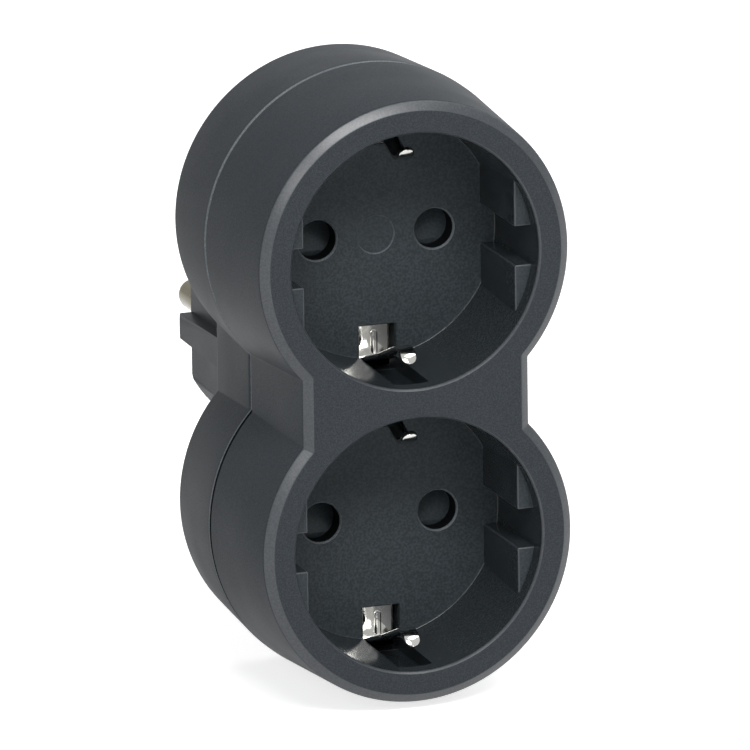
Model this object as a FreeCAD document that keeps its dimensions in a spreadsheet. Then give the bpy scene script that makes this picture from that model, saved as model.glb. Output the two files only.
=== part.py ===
"""Two-way earthed socket adapter with one plug, modelled in millimetres.

Frame: the origin is the centre of the plug's end face. The plug's pins point along +Y,
the two socket wells open towards -Y, one above the other, and +Z is up.
"""
import FreeCAD, Part
import math
import os

import Sketcher

Vector = FreeCAD.Vector
SHEET_NAME = "Sizes"

# Driving sizes: name, value in millimetres, what it is.
SIZE_TABLE = [
    ("pin_pitch", 19.0, "distance between the two pins of a plug"),
    ("plug_pin_radius", 2.4, "radius of a plug pin"),
    ("plug_pin_length", 19.0, "plug pin, end face of the plug to the tip"),
    ("plug_pin_tip", 2.0, "rounding of a plug pin's tip"),
    ("pin_root_radius", 2.6, "thicker root of a plug pin inside the plug"),
    ("pin_root_proud", 0.3, "way the root stands out of the plug's face"),
    ("pin_collar_radius", 3.2, "collar that seats a pin on the rear wall"),
    ("pin_collar_length", 2.0, "length of that collar"),
    ("pin_tail_radius", 1.5, "riveted tail of a plug pin"),
    ("pin_tail_head", 0.8, "height of the tail's closed head"),
    ("well_pitch", 44.7, "distance between the axes of the two wells"),
    ("well_mouth_radius", 20.0, "well radius at its mouth"),
    ("well_floor_radius", 19.5, "well radius at its floor"),
    ("well_depth", 17.8, "front face to the well floor"),
    ("well_edge", 0.35, "small chamfer round a well's mouth"),
    ("cup_wall", 2.4, "wall round each well"),
    ("floor_wall", 3.0, "thickness of a well's floor"),
    ("face_radius", 23.5, "radius of the flat front face round each well"),
    ("ring_radius", 25.0, "outer radius behind the front chamfer"),
    ("seam_radius", 26.3, "outer radius at the seam of the two shells"),
    ("rear_taper", 1.0, "way the outer radius shrinks from the seam to the rear edge"),
    ("face_neck", 16.9, "half width of the front face at the neck"),
    ("ring_neck", 18.3, "half width of the neck behind the chamfer"),
    ("seam_neck", 19.3, "half width of the neck at the seam"),
    ("rear_neck_taper", 0.5, "way the neck's half width shrinks from the seam to the rear edge"),
    ("front_chamfer", 1.0, "depth of the front chamfer"),
    ("seam_depth", 21.5, "front face to the seam of the two shells"),
    ("seam_groove", 0.25, "chamfer of each shell's edge at the seam"),
    ("housing_depth", 39.4, "front face to the rear face"),
    ("rear_rounding", 1.6, "rounding of the rear edge"),
    ("shell_wall", 1.8, "wall of the outer shells"),
    ("front_wall", 2.0, "wall behind the front face"),
    ("rear_wall", 2.0, "wall at the rear face"),
    ("rib_flat", 17.05, "well axis to the flat of a guide rib"),
    ("rib_gap", 6.1, "gap between the two guide ribs of a side"),
    ("rib_recess", 2.9, "front face to the front end of a guide rib"),
    ("pin_hole_radius", 3.1, "radius of a pin hole in a well floor"),
    ("pin_hole_edge", 0.35, "chamfer round a pin hole"),
    ("disc_radius", 3.1, "radius of the plain disc on the upper floor"),
    ("disc_groove", 0.35, "width of the groove round that disc"),
    ("window_width", 6.0, "floor window of an earth clip"),
    ("window_inner", 14.3, "well axis to the window's inner edge"),
    ("plate_depth", 1.4, "well floor to the bracket's plate in a window"),
    ("plate_play", 0.3, "clearance of the bracket behind the floor"),
    ("slot_width", 5.6, "slot in the well wall behind an earth clip"),
    ("slot_recess", 2.7, "front face to the front end of that slot"),
    ("slot_depth", 2.0, "depth of that slot into the wall"),
    ("sheet_thickness", 0.7, "thickness of the earth parts"),
    ("clip_width", 5.2, "width of an earth clip's plate"),
    ("clip_tip_width", 2.6, "width of an earth clip's tongue"),
    ("clip_tip_rounding", 1.2, "rounding of the tongue's corners"),
    ("clip_leg", 13.0, "well axis to the leg that carries a clip"),
    ("clip_root", 20.7, "well axis to the outer face of a clip's root"),
    ("clip_waist", 14.0, "well axis to the inner face at the clip's waist"),
    ("clip_tip", 16.8, "well axis to the clip's tip"),
    ("clip_recess", 3.0, "front face to the clip's tip"),
    ("clip_curl_length", 1.9, "length of the curled tip"),
    ("clip_shoulder", 3.2, "clip's plate to where it starts to narrow"),
    ("clip_taper", 3.2, "length over which the clip narrows"),
    ("clip_root_sheet", 1.0, "clip's root, measured across the well axis"),
    ("clip_waist_sheet", 0.98, "clip's waist, measured across the well axis"),
    ("clip_end_sheet", 0.39, "clip's tip, measured across the well axis"),
    ("clip_bend_shift", 0.56, "way the clip's far face bends behind its near face"),
    ("clip_rib_width", 1.1, "width of the clip's stiffening rib"),
    ("clip_rib_height", 0.35, "height of the clip's stiffening rib"),
    ("shutter_gap", 0.2, "running gap round a shutter"),
    ("shutter_thickness", 3.0, "thickness of a shutter"),
    ("shutter_half_height", 3.6, "half the height of a shutter"),
    ("shutter_half_width", 13.8, "half the width of a shutter"),
    ("shutter_travel", 6.2, "way a shutter slides to clear the pins"),
    ("shutter_nose", 0.7, "depth of the flat end of a shutter's ramp"),
    ("shutter_corner", 1.5, "rounding of a shutter's corners"),
    ("shutter_core", 5.0, "half width of a shutter's thick middle"),
    ("spring_pocket_width", 2.6, "spring pocket in a shutter"),
    ("spring_pocket_depth", 2.8, "depth of that pocket"),
    ("spring_wire", 0.36, "wire of a shutter spring"),
    ("spring_radius", 0.85, "mean radius of a shutter spring"),
    ("spring_turns", 6.0, "turns of a shutter spring"),
    ("spring_play", 0.1, "clearance at each end of a shutter spring"),
    ("spring_room", 1.6, "room left under an open shutter"),
    ("cover_wall", 1.4, "thickness of a shutter cover"),
    ("cover_rim", 1.2, "rim of a shutter cover"),
    ("contact_gap", 0.2, "shutter cover to a socket contact"),
    ("contact_sheet", 0.6, "thickness of a socket contact"),
    ("contact_rear_gap", 1.1, "socket contact to the rear wall"),
    ("contact_waist_share", 0.35, "share of a contact's length before its waist"),
    ("contact_hip_share", 0.6, "share of a contact's length before its back"),
    ("contact_grip", 2.2, "half the gap at a contact's waist"),
    ("contact_flare", 3.4, "half the gap at a contact's mouth"),
    ("contact_back_gap", 2.8, "half the gap at a contact's back"),
    ("contact_reach", 3.0, "pin axis to a contact leaf's free side"),
    ("contact_web_height", 7.0, "pin axis to the end of a contact's web"),
    ("contact_web_length", 5.0, "length of a contact's web"),
    ("bus_sheet", 0.8, "thickness of a bus bar"),
    ("bus_offset", 3.4, "pin axis to the inner face of a bus bar"),
    ("bus_recess", 1.0, "front of a contact to the front of its bus bar"),
    ("bus_overhang", 8.4, "well axis to a bus bar's end"),
    ("bus_tab_half", 4.0, "half the height of a bus bar's pin tab"),
    ("rivet_radius", 0.9, "radius of a contact rivet"),
    ("rivet_head_radius", 1.5, "radius of a rivet's heads"),
    ("rivet_head", 0.5, "height of a rivet's heads"),
    ("rivet_offset", 5.4, "pin axis to a contact rivet"),
    ("rivet_play", 0.04, "clearance round a rivet or a pin"),
    ("strap_width", 6.0, "width of the plug's earth strap"),
    ("strap_reach", 16.6, "plug axis to the strap's outer face"),
    ("strap_end_gap", 2.5, "plug end face to the strap's end"),
    ("strap_window_play", 0.2, "clearance of the strap in the rear wall"),
    ("earth_rivet_place", 12.5, "plug axis to an earth rivet"),
    ("earth_rivet_room", 0.3, "clearance round an earth rivet's head in a cover"),
    ("plug_length", 18.5, "rear face to the plug's end face"),
    ("plug_base_radius", 18.4, "plug body radius at the rear face"),
    ("plug_end_radius", 18.2, "plug body radius near its end"),
    ("plug_chamfer", 0.9, "chamfer of the plug's end"),
    ("plug_flat", 16.0, "plug axis to the plug's side flats"),
    ("plug_rail", 4.9, "height of the rail between two flats"),
    ("plug_recess_width", 8.6, "recess over a plug earth contact"),
    ("plug_core_width", 10.0, "hollow in the plug body"),
    ("plug_core_height", 26.0, "height of that hollow"),
    ("plug_end_wall", 3.0, "wall at the plug's end"),
    ("boss_side", 9.5, "housing screw, sideways from the middle"),
    ("boss_rise", 16.2, "housing screw, up or down from a well axis"),
    ("boss_radius", 3.0, "front screw boss"),
    ("boss_rear_radius", 4.2, "rear screw boss"),
    ("boss_split", 9.0, "well floor to where the two bosses meet"),
    ("screw_radius", 1.4, "radius of a housing screw"),
    ("screw_head_radius", 2.7, "radius of a screw's head"),
    ("screw_head", 1.8, "height of a screw's head"),
    ("screw_seat", 2.0, "boss wall under a screw's head"),
    ("screw_tip_gap", 0.5, "screw tip to the bottom of its bore"),
    ("screw_play", 0.1, "clearance round a housing screw"),
    ("screw_slot", 0.7, "width of the slot in a screw's head"),
    ("thread_play", 0.025, "clearance round a screw's thread in its boss"),
    ("screw_head_play", 0.4, "clearance round a screw's head"),
    ("cut_margin", 1.0, "way a cut runs past what it cuts"),
]


# Straight runs in one turn of a shutter spring.
RUNS_PER_TURN = 8


class Size:
    """A length with its value in millimetres and its formula over the sheet."""

    def __init__(self, value, text):
        self.value = float(value)
        self.text = text

    def join(self, other, sign, value):
        return Size(value, f"({self.text} {sign} {other.text})")

    def __add__(self, other):
        other = as_size(other)
        return self.join(other, "+", self.value + other.value)

    def __radd__(self, other):
        return as_size(other) + self

    def __sub__(self, other):
        other = as_size(other)
        return self.join(other, "-", self.value - other.value)

    def __rsub__(self, other):
        return as_size(other) - self

    def __mul__(self, other):
        other = as_size(other)
        return self.join(other, "*", self.value * other.value)

    def __rmul__(self, other):
        return as_size(other) * self

    def __truediv__(self, other):
        other = as_size(other)
        return self.join(other, "/", self.value / other.value)

    def __neg__(self):
        return Size(0, "0") - self

    def root(self):
        return Size(math.sqrt(self.value), f"sqrt({self.text})")


def as_size(number):
    """Return a Size as it is, and a plain number as a Size."""
    return number if isinstance(number, Size) else Size(number, repr(float(number)))


class Sizes:
    """The sheet's sizes, each an attribute of its own name."""

    def __init__(self, doc):
        sheet = doc.addObject("Spreadsheet::Sheet", SHEET_NAME)
        for row, (name, value, note) in enumerate(SIZE_TABLE, start=1):
            sheet.set(f"A{row}", note)
            sheet.set(f"B{row}", str(value))
            sheet.setAlias(f"B{row}", name)
        doc.recompute()
        for name, _, _ in SIZE_TABLE:
            setattr(self, name, Size(sheet.get(name), f"{SHEET_NAME}.{name}"))


def bind(obj, name, size):
    """Tie a property or constraint of an object to a size."""
    obj.setExpression(name, as_size(size).text)


# Sketches


def new_body(doc, label):
    body = doc.addObject("PartDesign::Body", label)
    body.Label = label
    return body


def origin_feature(body, role):
    return next(item for item in body.Origin.OriginFeatures if item.Role == role)


def new_sketch(body, plane, name, offset=0):
    """Start a sketch on one of the body's origin planes, moved along its normal."""
    sketch = body.newObject("Sketcher::SketchObject", f"{body.Label}_{name}")
    sketch.AttachmentSupport = [(origin_feature(body, plane), "")]
    sketch.MapMode = "FlatFace"
    bind(sketch, "AttachmentOffset.Base.z", offset)
    return sketch


def fix_axis(sketch, geometry, position, axis, size):
    """Hold a point of a sketch at a size along one of its two axes."""
    kind = ("DistanceX", "DistanceY")[axis]
    rule = Sketcher.Constraint(kind, -1, 1, geometry, position, as_size(size).value)
    bind(sketch, f"Constraints[{sketch.addConstraint(rule)}]", size)


def fix_point(sketch, geometry, position, place):
    for axis, size in enumerate(place):
        fix_axis(sketch, geometry, position, axis, size)


def flat_vector(place):
    return Vector(as_size(place[0]).value, as_size(place[1]).value, 0)


class Arc:
    """Stands in an outline between two corners that an arc about a centre joins."""

    def __init__(self, centre):
        self.centre = centre


def arc_between(start, end, centre):
    """The shorter arc from start to end about a centre."""
    middle = (start + end) / 2 - centre
    radius = (start - centre).Length
    return Part.Arc(start, centre + middle / middle.Length * radius, end)


def polygon(sketch, outline):
    """Draw a closed outline of pairs of sizes; an Arc bends the edge that it stands in."""
    first = sketch.GeometryCount
    corners = [item for item in outline if not isinstance(item, Arc)]
    bends = {}
    for index, item in enumerate(outline):
        if isinstance(item, Arc):
            bends[corners.index(outline[index - 1])] = item
    vectors = [flat_vector(corner) for corner in corners]
    count = len(corners)
    for index, start in enumerate(vectors):
        end = vectors[(index + 1) % count]
        if index in bends:
            edge = arc_between(start, end, flat_vector(bends[index].centre))
        else:
            edge = Part.LineSegment(start, end)
        sketch.addGeometry(edge, False)
    for index, corner in enumerate(corners):
        following = (index + 1) % count
        join_ends(sketch, first + index, first + following, vectors[following])
        if index in bends:
            fix_point(sketch, first + index, 3, bends[index].centre)
        if (index - 1) % count in bends:
            fix_arc_end(sketch, first + index, corner, bends[(index - 1) % count])
        else:
            position = end_at(sketch, first + index, vectors[index])
            fix_point(sketch, first + index, position, corner)


def end_at(sketch, geometry, place):
    """Tell which end of an edge, 1 or 2, lies nearest to a place."""
    start, end = (sketch.getPoint(geometry, position) for position in (1, 2))
    return 1 if (start - place).Length < (end - place).Length else 2


def join_ends(sketch, geometry, following, place):
    """Join two edges of a sketch where they meet at a place."""
    first, second = (end_at(sketch, index, place) for index in (geometry, following))
    sketch.addConstraint(Sketcher.Constraint("Coincident", geometry, first, following, second))


def fix_arc_end(sketch, geometry, corner, bend):
    """Fix the end of an arc along the axis that leaves it well placed."""
    vector = flat_vector(corner)
    offset = vector - flat_vector(bend.centre)
    axis = 1 if abs(offset.x) > abs(offset.y) else 0
    fix_axis(sketch, geometry, end_at(sketch, geometry, vector), axis, corner[axis])


def rectangle(sketch, low, high):
    polygon(sketch, [low, (high[0], low[1]), high, (low[0], high[1])])


def circle(sketch, place, radius):
    shape = Part.Circle(flat_vector(place), Vector(0, 0, 1), as_size(radius).value)
    index = sketch.addGeometry(shape, False)
    fix_point(sketch, index, 3, place)
    rule = Sketcher.Constraint("Radius", index, as_size(radius).value)
    bind(sketch, f"Constraints[{sketch.addConstraint(rule)}]", radius)


def axis_line(sketch, start, end):
    """Draw the construction line that a profile turns about."""
    index = sketch.addGeometry(Part.LineSegment(flat_vector(start), flat_vector(end)), True)
    fix_point(sketch, index, 1, start)
    fix_point(sketch, index, 2, end)


# Features


def extrude(body, sketch, name, length, cut=False, reverse=False, middle=False):
    """Pad or pocket a sketch towards the positive axis, or the negative one if reversed."""
    kind = "PartDesign::Pocket" if cut else "PartDesign::Pad"
    feature = body.newObject(kind, f"{body.Label}_{name}")
    feature.Profile = sketch
    bind(feature, "Length", length)
    faces_negative = sketch.AttachmentSupport[0][0].Role == "XZ_Plane"
    goes_negative = faces_negative != cut
    feature.Reversed = goes_negative != reverse
    if middle:
        feature.Reversed = False
        feature.SideType = "Symmetric"
    sketch.Visibility = False
    return feature


def turn(body, sketch, name, cut=False):
    """Turn a sketch about its construction line, as added or cut material."""
    kind = "PartDesign::Groove" if cut else "PartDesign::Revolution"
    feature = body.newObject(kind, f"{body.Label}_{name}")
    feature.Profile = sketch
    feature.ReferenceAxis = (sketch, ["Axis0"])
    feature.Angle = 360
    return feature


def repeat_down(body, originals, name, pitch):
    """Repeat the upper well's features at the lower well."""
    pattern = body.newObject("PartDesign::LinearPattern", f"{body.Label}_{name}")
    pattern.Originals = originals
    pattern.Direction = (origin_feature(body, "Z_Axis"), [""])
    pattern.Reversed = True
    bind(pattern, "Length", pitch)
    pattern.Occurrences = 2
    body.Tip = pattern
    return pattern


def edges_where(shape, test):
    """Return the names of the edges whose boxes pass a test."""
    names = []
    for index, edge in enumerate(shape.Edges, start=1):
        if test(edge.BoundBox):
            names.append(f"Edge{index}")
    return names


def round_edges(body, name, test, radius, kind="Fillet"):
    """Fillet or chamfer the edges of the body's present shape that pass a test."""
    body.Document.recompute()
    base = body.Tip
    names = edges_where(base.Shape, test)
    if not names:
        raise ValueError(f"{body.Label}: no edge for {name}")
    feature = body.newObject(f"PartDesign::{kind}", f"{body.Label}_{name}")
    feature.Base = (base, names)
    bind(feature, "Radius" if kind == "Fillet" else "Size", radius)
    return feature


def near(value, size, slack=0.01):
    return abs(value - as_size(size).value) < slack


def flat_at(box, size):
    """Tell whether an edge's box lies in the plane y = size."""
    return near(box.YMin, size) and near(box.YMax, size)


# Places that several pieces share


class Layout:
    """Depths along Y and heights along Z, worked out from the driving sizes."""

    def __init__(self, s):
        self.sizes = s
        self.rear = -s.plug_length
        self.front = self.rear - s.housing_depth
        self.seam = self.front + s.seam_depth
        self.floor = self.front + s.well_depth
        self.floor_back = self.floor + s.floor_wall
        self.inner_rear = self.rear - s.rear_wall
        self.shutter_front = self.floor_back + s.shutter_gap
        self.shutter_back = self.shutter_front + s.shutter_thickness
        self.cover_front = self.shutter_back + s.shutter_gap
        self.cover_back = self.cover_front + s.cover_wall
        self.bracket_back = self.cover_back + s.sheet_thickness
        self.strap_back = self.bracket_back + s.sheet_thickness
        self.contact_front = self.cover_back + s.contact_gap
        self.contact_back = self.inner_rear - s.contact_rear_gap
        self.contact_length = self.contact_back - self.contact_front
        self.plate_front = self.floor + s.plate_depth
        self.plate_back = self.plate_front + s.sheet_thickness
        self.upper = s.well_pitch / 2
        self.rear_radius = s.seam_radius - s.rear_taper
        self.rear_neck = s.seam_neck - s.rear_neck_taper
        self.pin_side = s.pin_pitch / 2
        self.boss_split = self.floor + s.boss_split
        self.boss_height = self.upper + s.boss_rise
        self.collar_front = self.inner_rear - s.pin_collar_length
        self.tab_front = self.collar_front - s.bus_sheet
        self.shutter_low = -s.shutter_half_height - s.shutter_travel - s.spring_room
        self.shutter_top = s.shutter_half_height + s.shutter_gap

    def well(self, side):
        """Height of a well's axis: side is 1 for the upper and -1 for the lower."""
        return self.upper * side


def figure_eight(body, name, stations, layout, cut=False):
    """Two coaxial stacks of cones joined by a neck; a station is (y, radius, half neck).

    An Arc between two stations rounds the edge there, and its centre is such a triple.
    """
    rise = layout.upper
    first, last = stations[0][0], stations[-1][0]
    ring = new_sketch(body, "YZ_Plane", f"{name}_ring_profile")
    axis_line(ring, (first, rise), (last, rise))
    outline = [cross_section(station, 1, rise, 1, False) for station in stations]
    polygon(ring, [(first, rise)] + outline + [(last, rise)])
    upper = turn(body, ring, f"{name}_ring", cut)
    repeat_down(body, [upper], f"{name}_rings", layout.sizes.well_pitch)
    neck_sketch = new_sketch(body, "XY_Plane", f"{name}_neck_profile")
    right = [cross_section(station, 2, 0, 1, True) for station in stations]
    left = [cross_section(station, 2, 0, -1, True) for station in reversed(stations)]
    polygon(neck_sketch, right + left)
    return extrude(body, neck_sketch, f"{name}_neck", layout.sizes.well_pitch, cut, middle=True)


def cross_section(station, column, base, side, swapped):
    """A station's corner in a sketch: its depth y, and its radius or half neck on one side."""
    if isinstance(station, Arc):
        return Arc(cross_section(station.centre, column, base, side, swapped))
    across = base + station[column] * side
    return (across, station[0]) if swapped else (station[0], across)


# Housings


def front_housing(doc, s, layout):
    """The front shell: skin, two wells with guide ribs, floors, windows and bosses."""
    body = new_body(doc, "front_housing")
    chamfer_y = layout.front + s.front_chamfer
    groove_y = layout.seam - s.seam_groove
    figure_eight(body, "skin", [
        (layout.front, s.face_radius, s.face_neck),
        (chamfer_y, s.ring_radius, s.ring_neck),
        (groove_y, s.seam_radius, s.seam_neck),
        (layout.seam, s.seam_radius - s.seam_groove, s.seam_neck - s.seam_groove),
    ], layout)
    hollow_y = layout.front + s.front_wall
    figure_eight(body, "hollow", [
        (hollow_y, s.ring_radius - s.shell_wall, s.ring_neck - s.shell_wall),
        (layout.seam, s.seam_radius - s.shell_wall, s.seam_neck - s.shell_wall),
    ], layout, cut=True)
    cup = well_cup(body, s, layout)
    well = well_hollow(body, s, layout)
    ribs = guide_ribs(body, s, layout)
    holes = pin_holes(body, s, layout)
    windows = clip_windows(body, s, layout)
    slots = clip_slots(body, s, layout)
    repeat_down(body, [cup, well, ribs] + holes + windows + [slots], "wells", s.well_pitch)
    front_bosses(body, s, layout)
    marking_disc(body, s, layout)
    return body


def well_cup(body, s, layout):
    sketch = new_sketch(body, "XZ_Plane", "cup_outline", -(layout.front + s.front_chamfer))
    circle(sketch, (0, layout.upper), s.well_mouth_radius + s.cup_wall)
    length = s.well_depth + s.floor_wall - s.front_chamfer
    return extrude(body, sketch, "cup", length)


def well_hollow(body, s, layout):
    """The round well, slightly narrower at its floor, with a small mouth chamfer."""
    rise = layout.upper
    sketch = new_sketch(body, "YZ_Plane", "well_profile")
    axis_line(sketch, (layout.front, rise), (layout.floor, rise))
    polygon(sketch, [
        (layout.front, rise),
        (layout.front, rise + s.well_mouth_radius + s.well_edge),
        (layout.front + s.well_edge, rise + s.well_mouth_radius),
        (layout.floor, rise + s.well_floor_radius),
        (layout.floor, rise),
    ])
    return turn(body, sketch, "well", cut=True)


def guide_ribs(body, s, layout):
    """Four guide ribs, a pair on each side, with a gap for the plug's rail."""
    sketch = new_sketch(body, "XZ_Plane", "rib_outline", -(layout.front + s.rib_recess))
    root = s.well_mouth_radius + s.cup_wall / 2
    near_z = s.rib_gap / 2
    far_z = (root * root - s.rib_flat * s.rib_flat).root()
    root_x = (root * root - near_z * near_z).root()
    for side in (1, -1):
        for lift in (1, -1):
            polygon(sketch, [
                (s.rib_flat * side, layout.upper + far_z * lift),
                (s.rib_flat * side, layout.upper + near_z * lift),
                (root_x * side, layout.upper + near_z * lift),
                Arc((0, layout.upper)),
            ])
    return extrude(body, sketch, "ribs", s.well_depth - s.rib_recess)


def pin_holes(body, s, layout):
    """Two pin holes through the floor, each with a small chamfer at its mouth."""
    sketch = new_sketch(body, "XZ_Plane", "pin_hole_outline", -layout.floor)
    for side in (1, -1):
        circle(sketch, (layout.pin_side * side, layout.upper), s.pin_hole_radius)
    features = [extrude(body, sketch, "pin_holes", s.floor_wall, cut=True)]
    for side, name in ((1, "right"), (-1, "left")):
        x = layout.pin_side * side
        edge = new_sketch(body, "XY_Plane", f"pin_edge_{name}_profile", layout.upper)
        axis_line(edge, (x, layout.floor), (x, layout.floor + s.pin_hole_edge))
        polygon(edge, [
            (x, layout.floor),
            (x + s.pin_hole_radius + s.pin_hole_edge, layout.floor),
            (x, layout.floor + s.pin_hole_radius + s.pin_hole_edge),
        ])
        features.append(turn(body, edge, f"pin_edge_{name}", cut=True))
    return features


def clip_windows(body, s, layout):
    """A window for each earth clip, and a pocket behind the floor for the bracket's leg."""
    sketch = new_sketch(body, "XZ_Plane", "window_outline", -layout.floor)
    half = s.window_width / 2
    outer = s.well_floor_radius + s.slot_depth
    for side in (1, -1):
        low = (-half, layout.upper + s.window_inner * side)
        high = (half, layout.upper + outer * side)
        rectangle(sketch, low, high)
    windows = extrude(body, sketch, "windows", s.floor_wall, cut=True)
    pocket_front = layout.plate_front - s.plate_play
    pockets = new_sketch(body, "XZ_Plane", "leg_pocket_outline", -pocket_front)
    for side in (1, -1):
        low = (-half, layout.upper + (s.clip_leg - s.plate_play) * side)
        high = (half, layout.upper + outer * side)
        rectangle(pockets, low, high)
    depth = layout.floor_back - pocket_front
    return [windows, extrude(body, pockets, "leg_pockets", depth, cut=True)]


def clip_slots(body, s, layout):
    """A slot in the well's wall behind each earth clip, so that it can give way."""
    sketch = new_sketch(body, "XZ_Plane", "slot_outline", -(layout.front + s.slot_recess))
    half = s.slot_width / 2
    for side in (1, -1):
        low = (-half, layout.upper + s.window_inner * side)
        high = (half, layout.upper + (s.well_floor_radius + s.slot_depth) * side)
        rectangle(sketch, low, high)
    return extrude(body, sketch, "slots", s.well_depth - s.slot_recess, cut=True)


def boss_places(s, layout):
    """The four housing screws' places as (x, z)."""
    return [(s.boss_side * side, layout.boss_height * lift) for lift in (1, -1) for side in (1, -1)]


def front_bosses(body, s, layout):
    sketch = new_sketch(body, "XZ_Plane", "boss_outline", -layout.floor_back)
    for place in boss_places(s, layout):
        circle(sketch, place, s.boss_radius)
    extrude(body, sketch, "bosses", layout.boss_split - layout.floor_back)
    bores = new_sketch(body, "XZ_Plane", "boss_bore_outline", -layout.floor_back)
    for place in boss_places(s, layout):
        circle(bores, place, s.screw_radius + s.thread_play)
    extrude(body, bores, "boss_bores", layout.boss_split - layout.floor_back, cut=True)


def marking_disc(body, s, layout):
    """A plain disc in the middle of the upper floor, set off by a fine groove."""
    sketch = new_sketch(body, "XZ_Plane", "disc_outline", -layout.floor)
    circle(sketch, (0, layout.upper), s.disc_radius)
    circle(sketch, (0, layout.upper), s.disc_radius - s.disc_groove)
    extrude(body, sketch, "disc", s.disc_groove / 2, cut=True)


def rear_housing(doc, s, layout):
    """The rear shell with the plug body, its flats, rails, recesses and bosses."""
    body = new_body(doc, "rear_housing")
    groove_y = layout.seam + s.seam_groove
    rounding = s.rear_rounding
    radius = layout.rear_radius
    neck = layout.rear_neck
    figure_eight(body, "skin", [
        (layout.seam, s.seam_radius - s.seam_groove, s.seam_neck - s.seam_groove),
        (groove_y, s.seam_radius, s.seam_neck),
        (layout.rear - rounding, radius, neck),
        Arc((layout.rear - rounding, radius - rounding, neck - rounding)),
        (layout.rear, radius - rounding, neck - rounding),
    ], layout)
    figure_eight(body, "hollow", [
        (layout.seam, s.seam_radius - s.shell_wall, s.seam_neck - s.shell_wall),
        (layout.inner_rear, radius - s.shell_wall, neck - s.shell_wall),
    ], layout, cut=True)
    plug_body(body, s, layout)
    rear_bosses(body, s, layout)
    return body


def plug_body(body, s, layout):
    """The round plug with two side flats, a rail between them and two earth recesses."""
    sketch = new_sketch(body, "YZ_Plane", "plug_profile")
    start = layout.inner_rear
    axis_line(sketch, (start, 0), (0, 0))
    polygon(sketch, [
        (start, 0),
        (start, s.plug_base_radius),
        (-s.plug_chamfer, s.plug_end_radius),
        (0, s.plug_end_radius - s.plug_chamfer),
        (0, 0),
    ])
    turn(body, sketch, "plug")
    reach = s.plug_base_radius + s.plug_chamfer
    flats = new_sketch(body, "XZ_Plane", "flat_outline", -layout.rear)
    for side in (1, -1):
        for lift in (1, -1):
            low = (s.plug_flat * side, s.plug_rail / 2 * lift)
            rectangle(flats, low, (reach * side, reach * lift))
    extrude(body, flats, "flats", s.plug_length, cut=True)
    recesses = new_sketch(body, "XZ_Plane", "recess_outline", -layout.rear)
    half = s.plug_recess_width / 2
    floor = s.strap_reach - s.sheet_thickness
    for lift in (1, -1):
        rectangle(recesses, (-half, floor * lift), (half, reach * lift))
    extrude(body, recesses, "recesses", s.plug_length, cut=True)
    strap_windows = new_sketch(body, "XZ_Plane", "strap_window_outline", -layout.inner_rear)
    half = s.strap_width / 2 + s.strap_window_play
    ceiling = s.strap_reach + s.strap_window_play
    for lift in (1, -1):
        rectangle(strap_windows, (-half, floor * lift), (half, ceiling * lift))
    extrude(body, strap_windows, "strap_windows", s.rear_wall, cut=True)
    bores = new_sketch(body, "XZ_Plane", "pin_bore_outline", -layout.inner_rear)
    for side in (1, -1):
        circle(bores, (layout.pin_side * side, 0), s.pin_root_radius + s.rivet_play)
    extrude(body, bores, "pin_bores", s.rear_wall + s.plug_length, cut=True)
    core = new_sketch(body, "XZ_Plane", "core_outline", -layout.inner_rear)
    half_width = s.plug_core_width / 2
    half_height = s.plug_core_height / 2
    rectangle(core, (-half_width, -half_height), (half_width, half_height))
    extrude(body, core, "core", s.rear_wall + s.plug_length - s.plug_end_wall, cut=True)


def rear_bosses(body, s, layout):
    """Four deep screw bosses, counterbored from the rear face."""
    seat = layout.boss_split + s.screw_seat
    posts = new_sketch(body, "XZ_Plane", "boss_outline", -layout.boss_split)
    for place in boss_places(s, layout):
        circle(posts, place, s.boss_rear_radius)
    extrude(body, posts, "bosses", layout.inner_rear - layout.boss_split)
    wells = new_sketch(body, "XZ_Plane", "counterbore_outline", -seat)
    for place in boss_places(s, layout):
        circle(wells, place, s.screw_head_radius + s.screw_head_play)
    extrude(body, wells, "counterbores", layout.rear - seat, cut=True)
    bores = new_sketch(body, "XZ_Plane", "screw_bore_outline", -layout.boss_split)
    for place in boss_places(s, layout):
        circle(bores, place, s.screw_radius + s.screw_play)
    extrude(body, bores, "screw_bores", s.screw_seat, cut=True)


# Current path


def plug_pin(doc, s, layout, side, label):
    """A turned plug pin: rounded tip, collar on the rear wall and a riveted tail."""
    body = new_body(doc, label)
    x = layout.pin_side * side
    sketch = new_sketch(body, "XY_Plane", "profile")
    axis_line(sketch, (x, layout.tab_front), (x, s.plug_pin_length))
    polygon(sketch, [
        (x, layout.tab_front - s.pin_tail_head),
        (x + s.pin_root_radius, layout.tab_front - s.pin_tail_head),
        (x + s.pin_root_radius, layout.tab_front),
        (x + s.pin_tail_radius, layout.tab_front),
        (x + s.pin_tail_radius, layout.collar_front),
        (x + s.pin_collar_radius, layout.collar_front),
        (x + s.pin_collar_radius, layout.inner_rear),
        (x + s.pin_root_radius, layout.inner_rear),
        (x + s.pin_root_radius, s.pin_root_proud),
        (x + s.plug_pin_radius, s.pin_root_proud),
        (x + s.plug_pin_radius, s.plug_pin_length),
        (x, s.plug_pin_length),
    ])
    turn(body, sketch, "pin")
    round_edges(body, "tip", lambda box: flat_at(box, s.plug_pin_length), s.plug_pin_tip)
    return body


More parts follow.
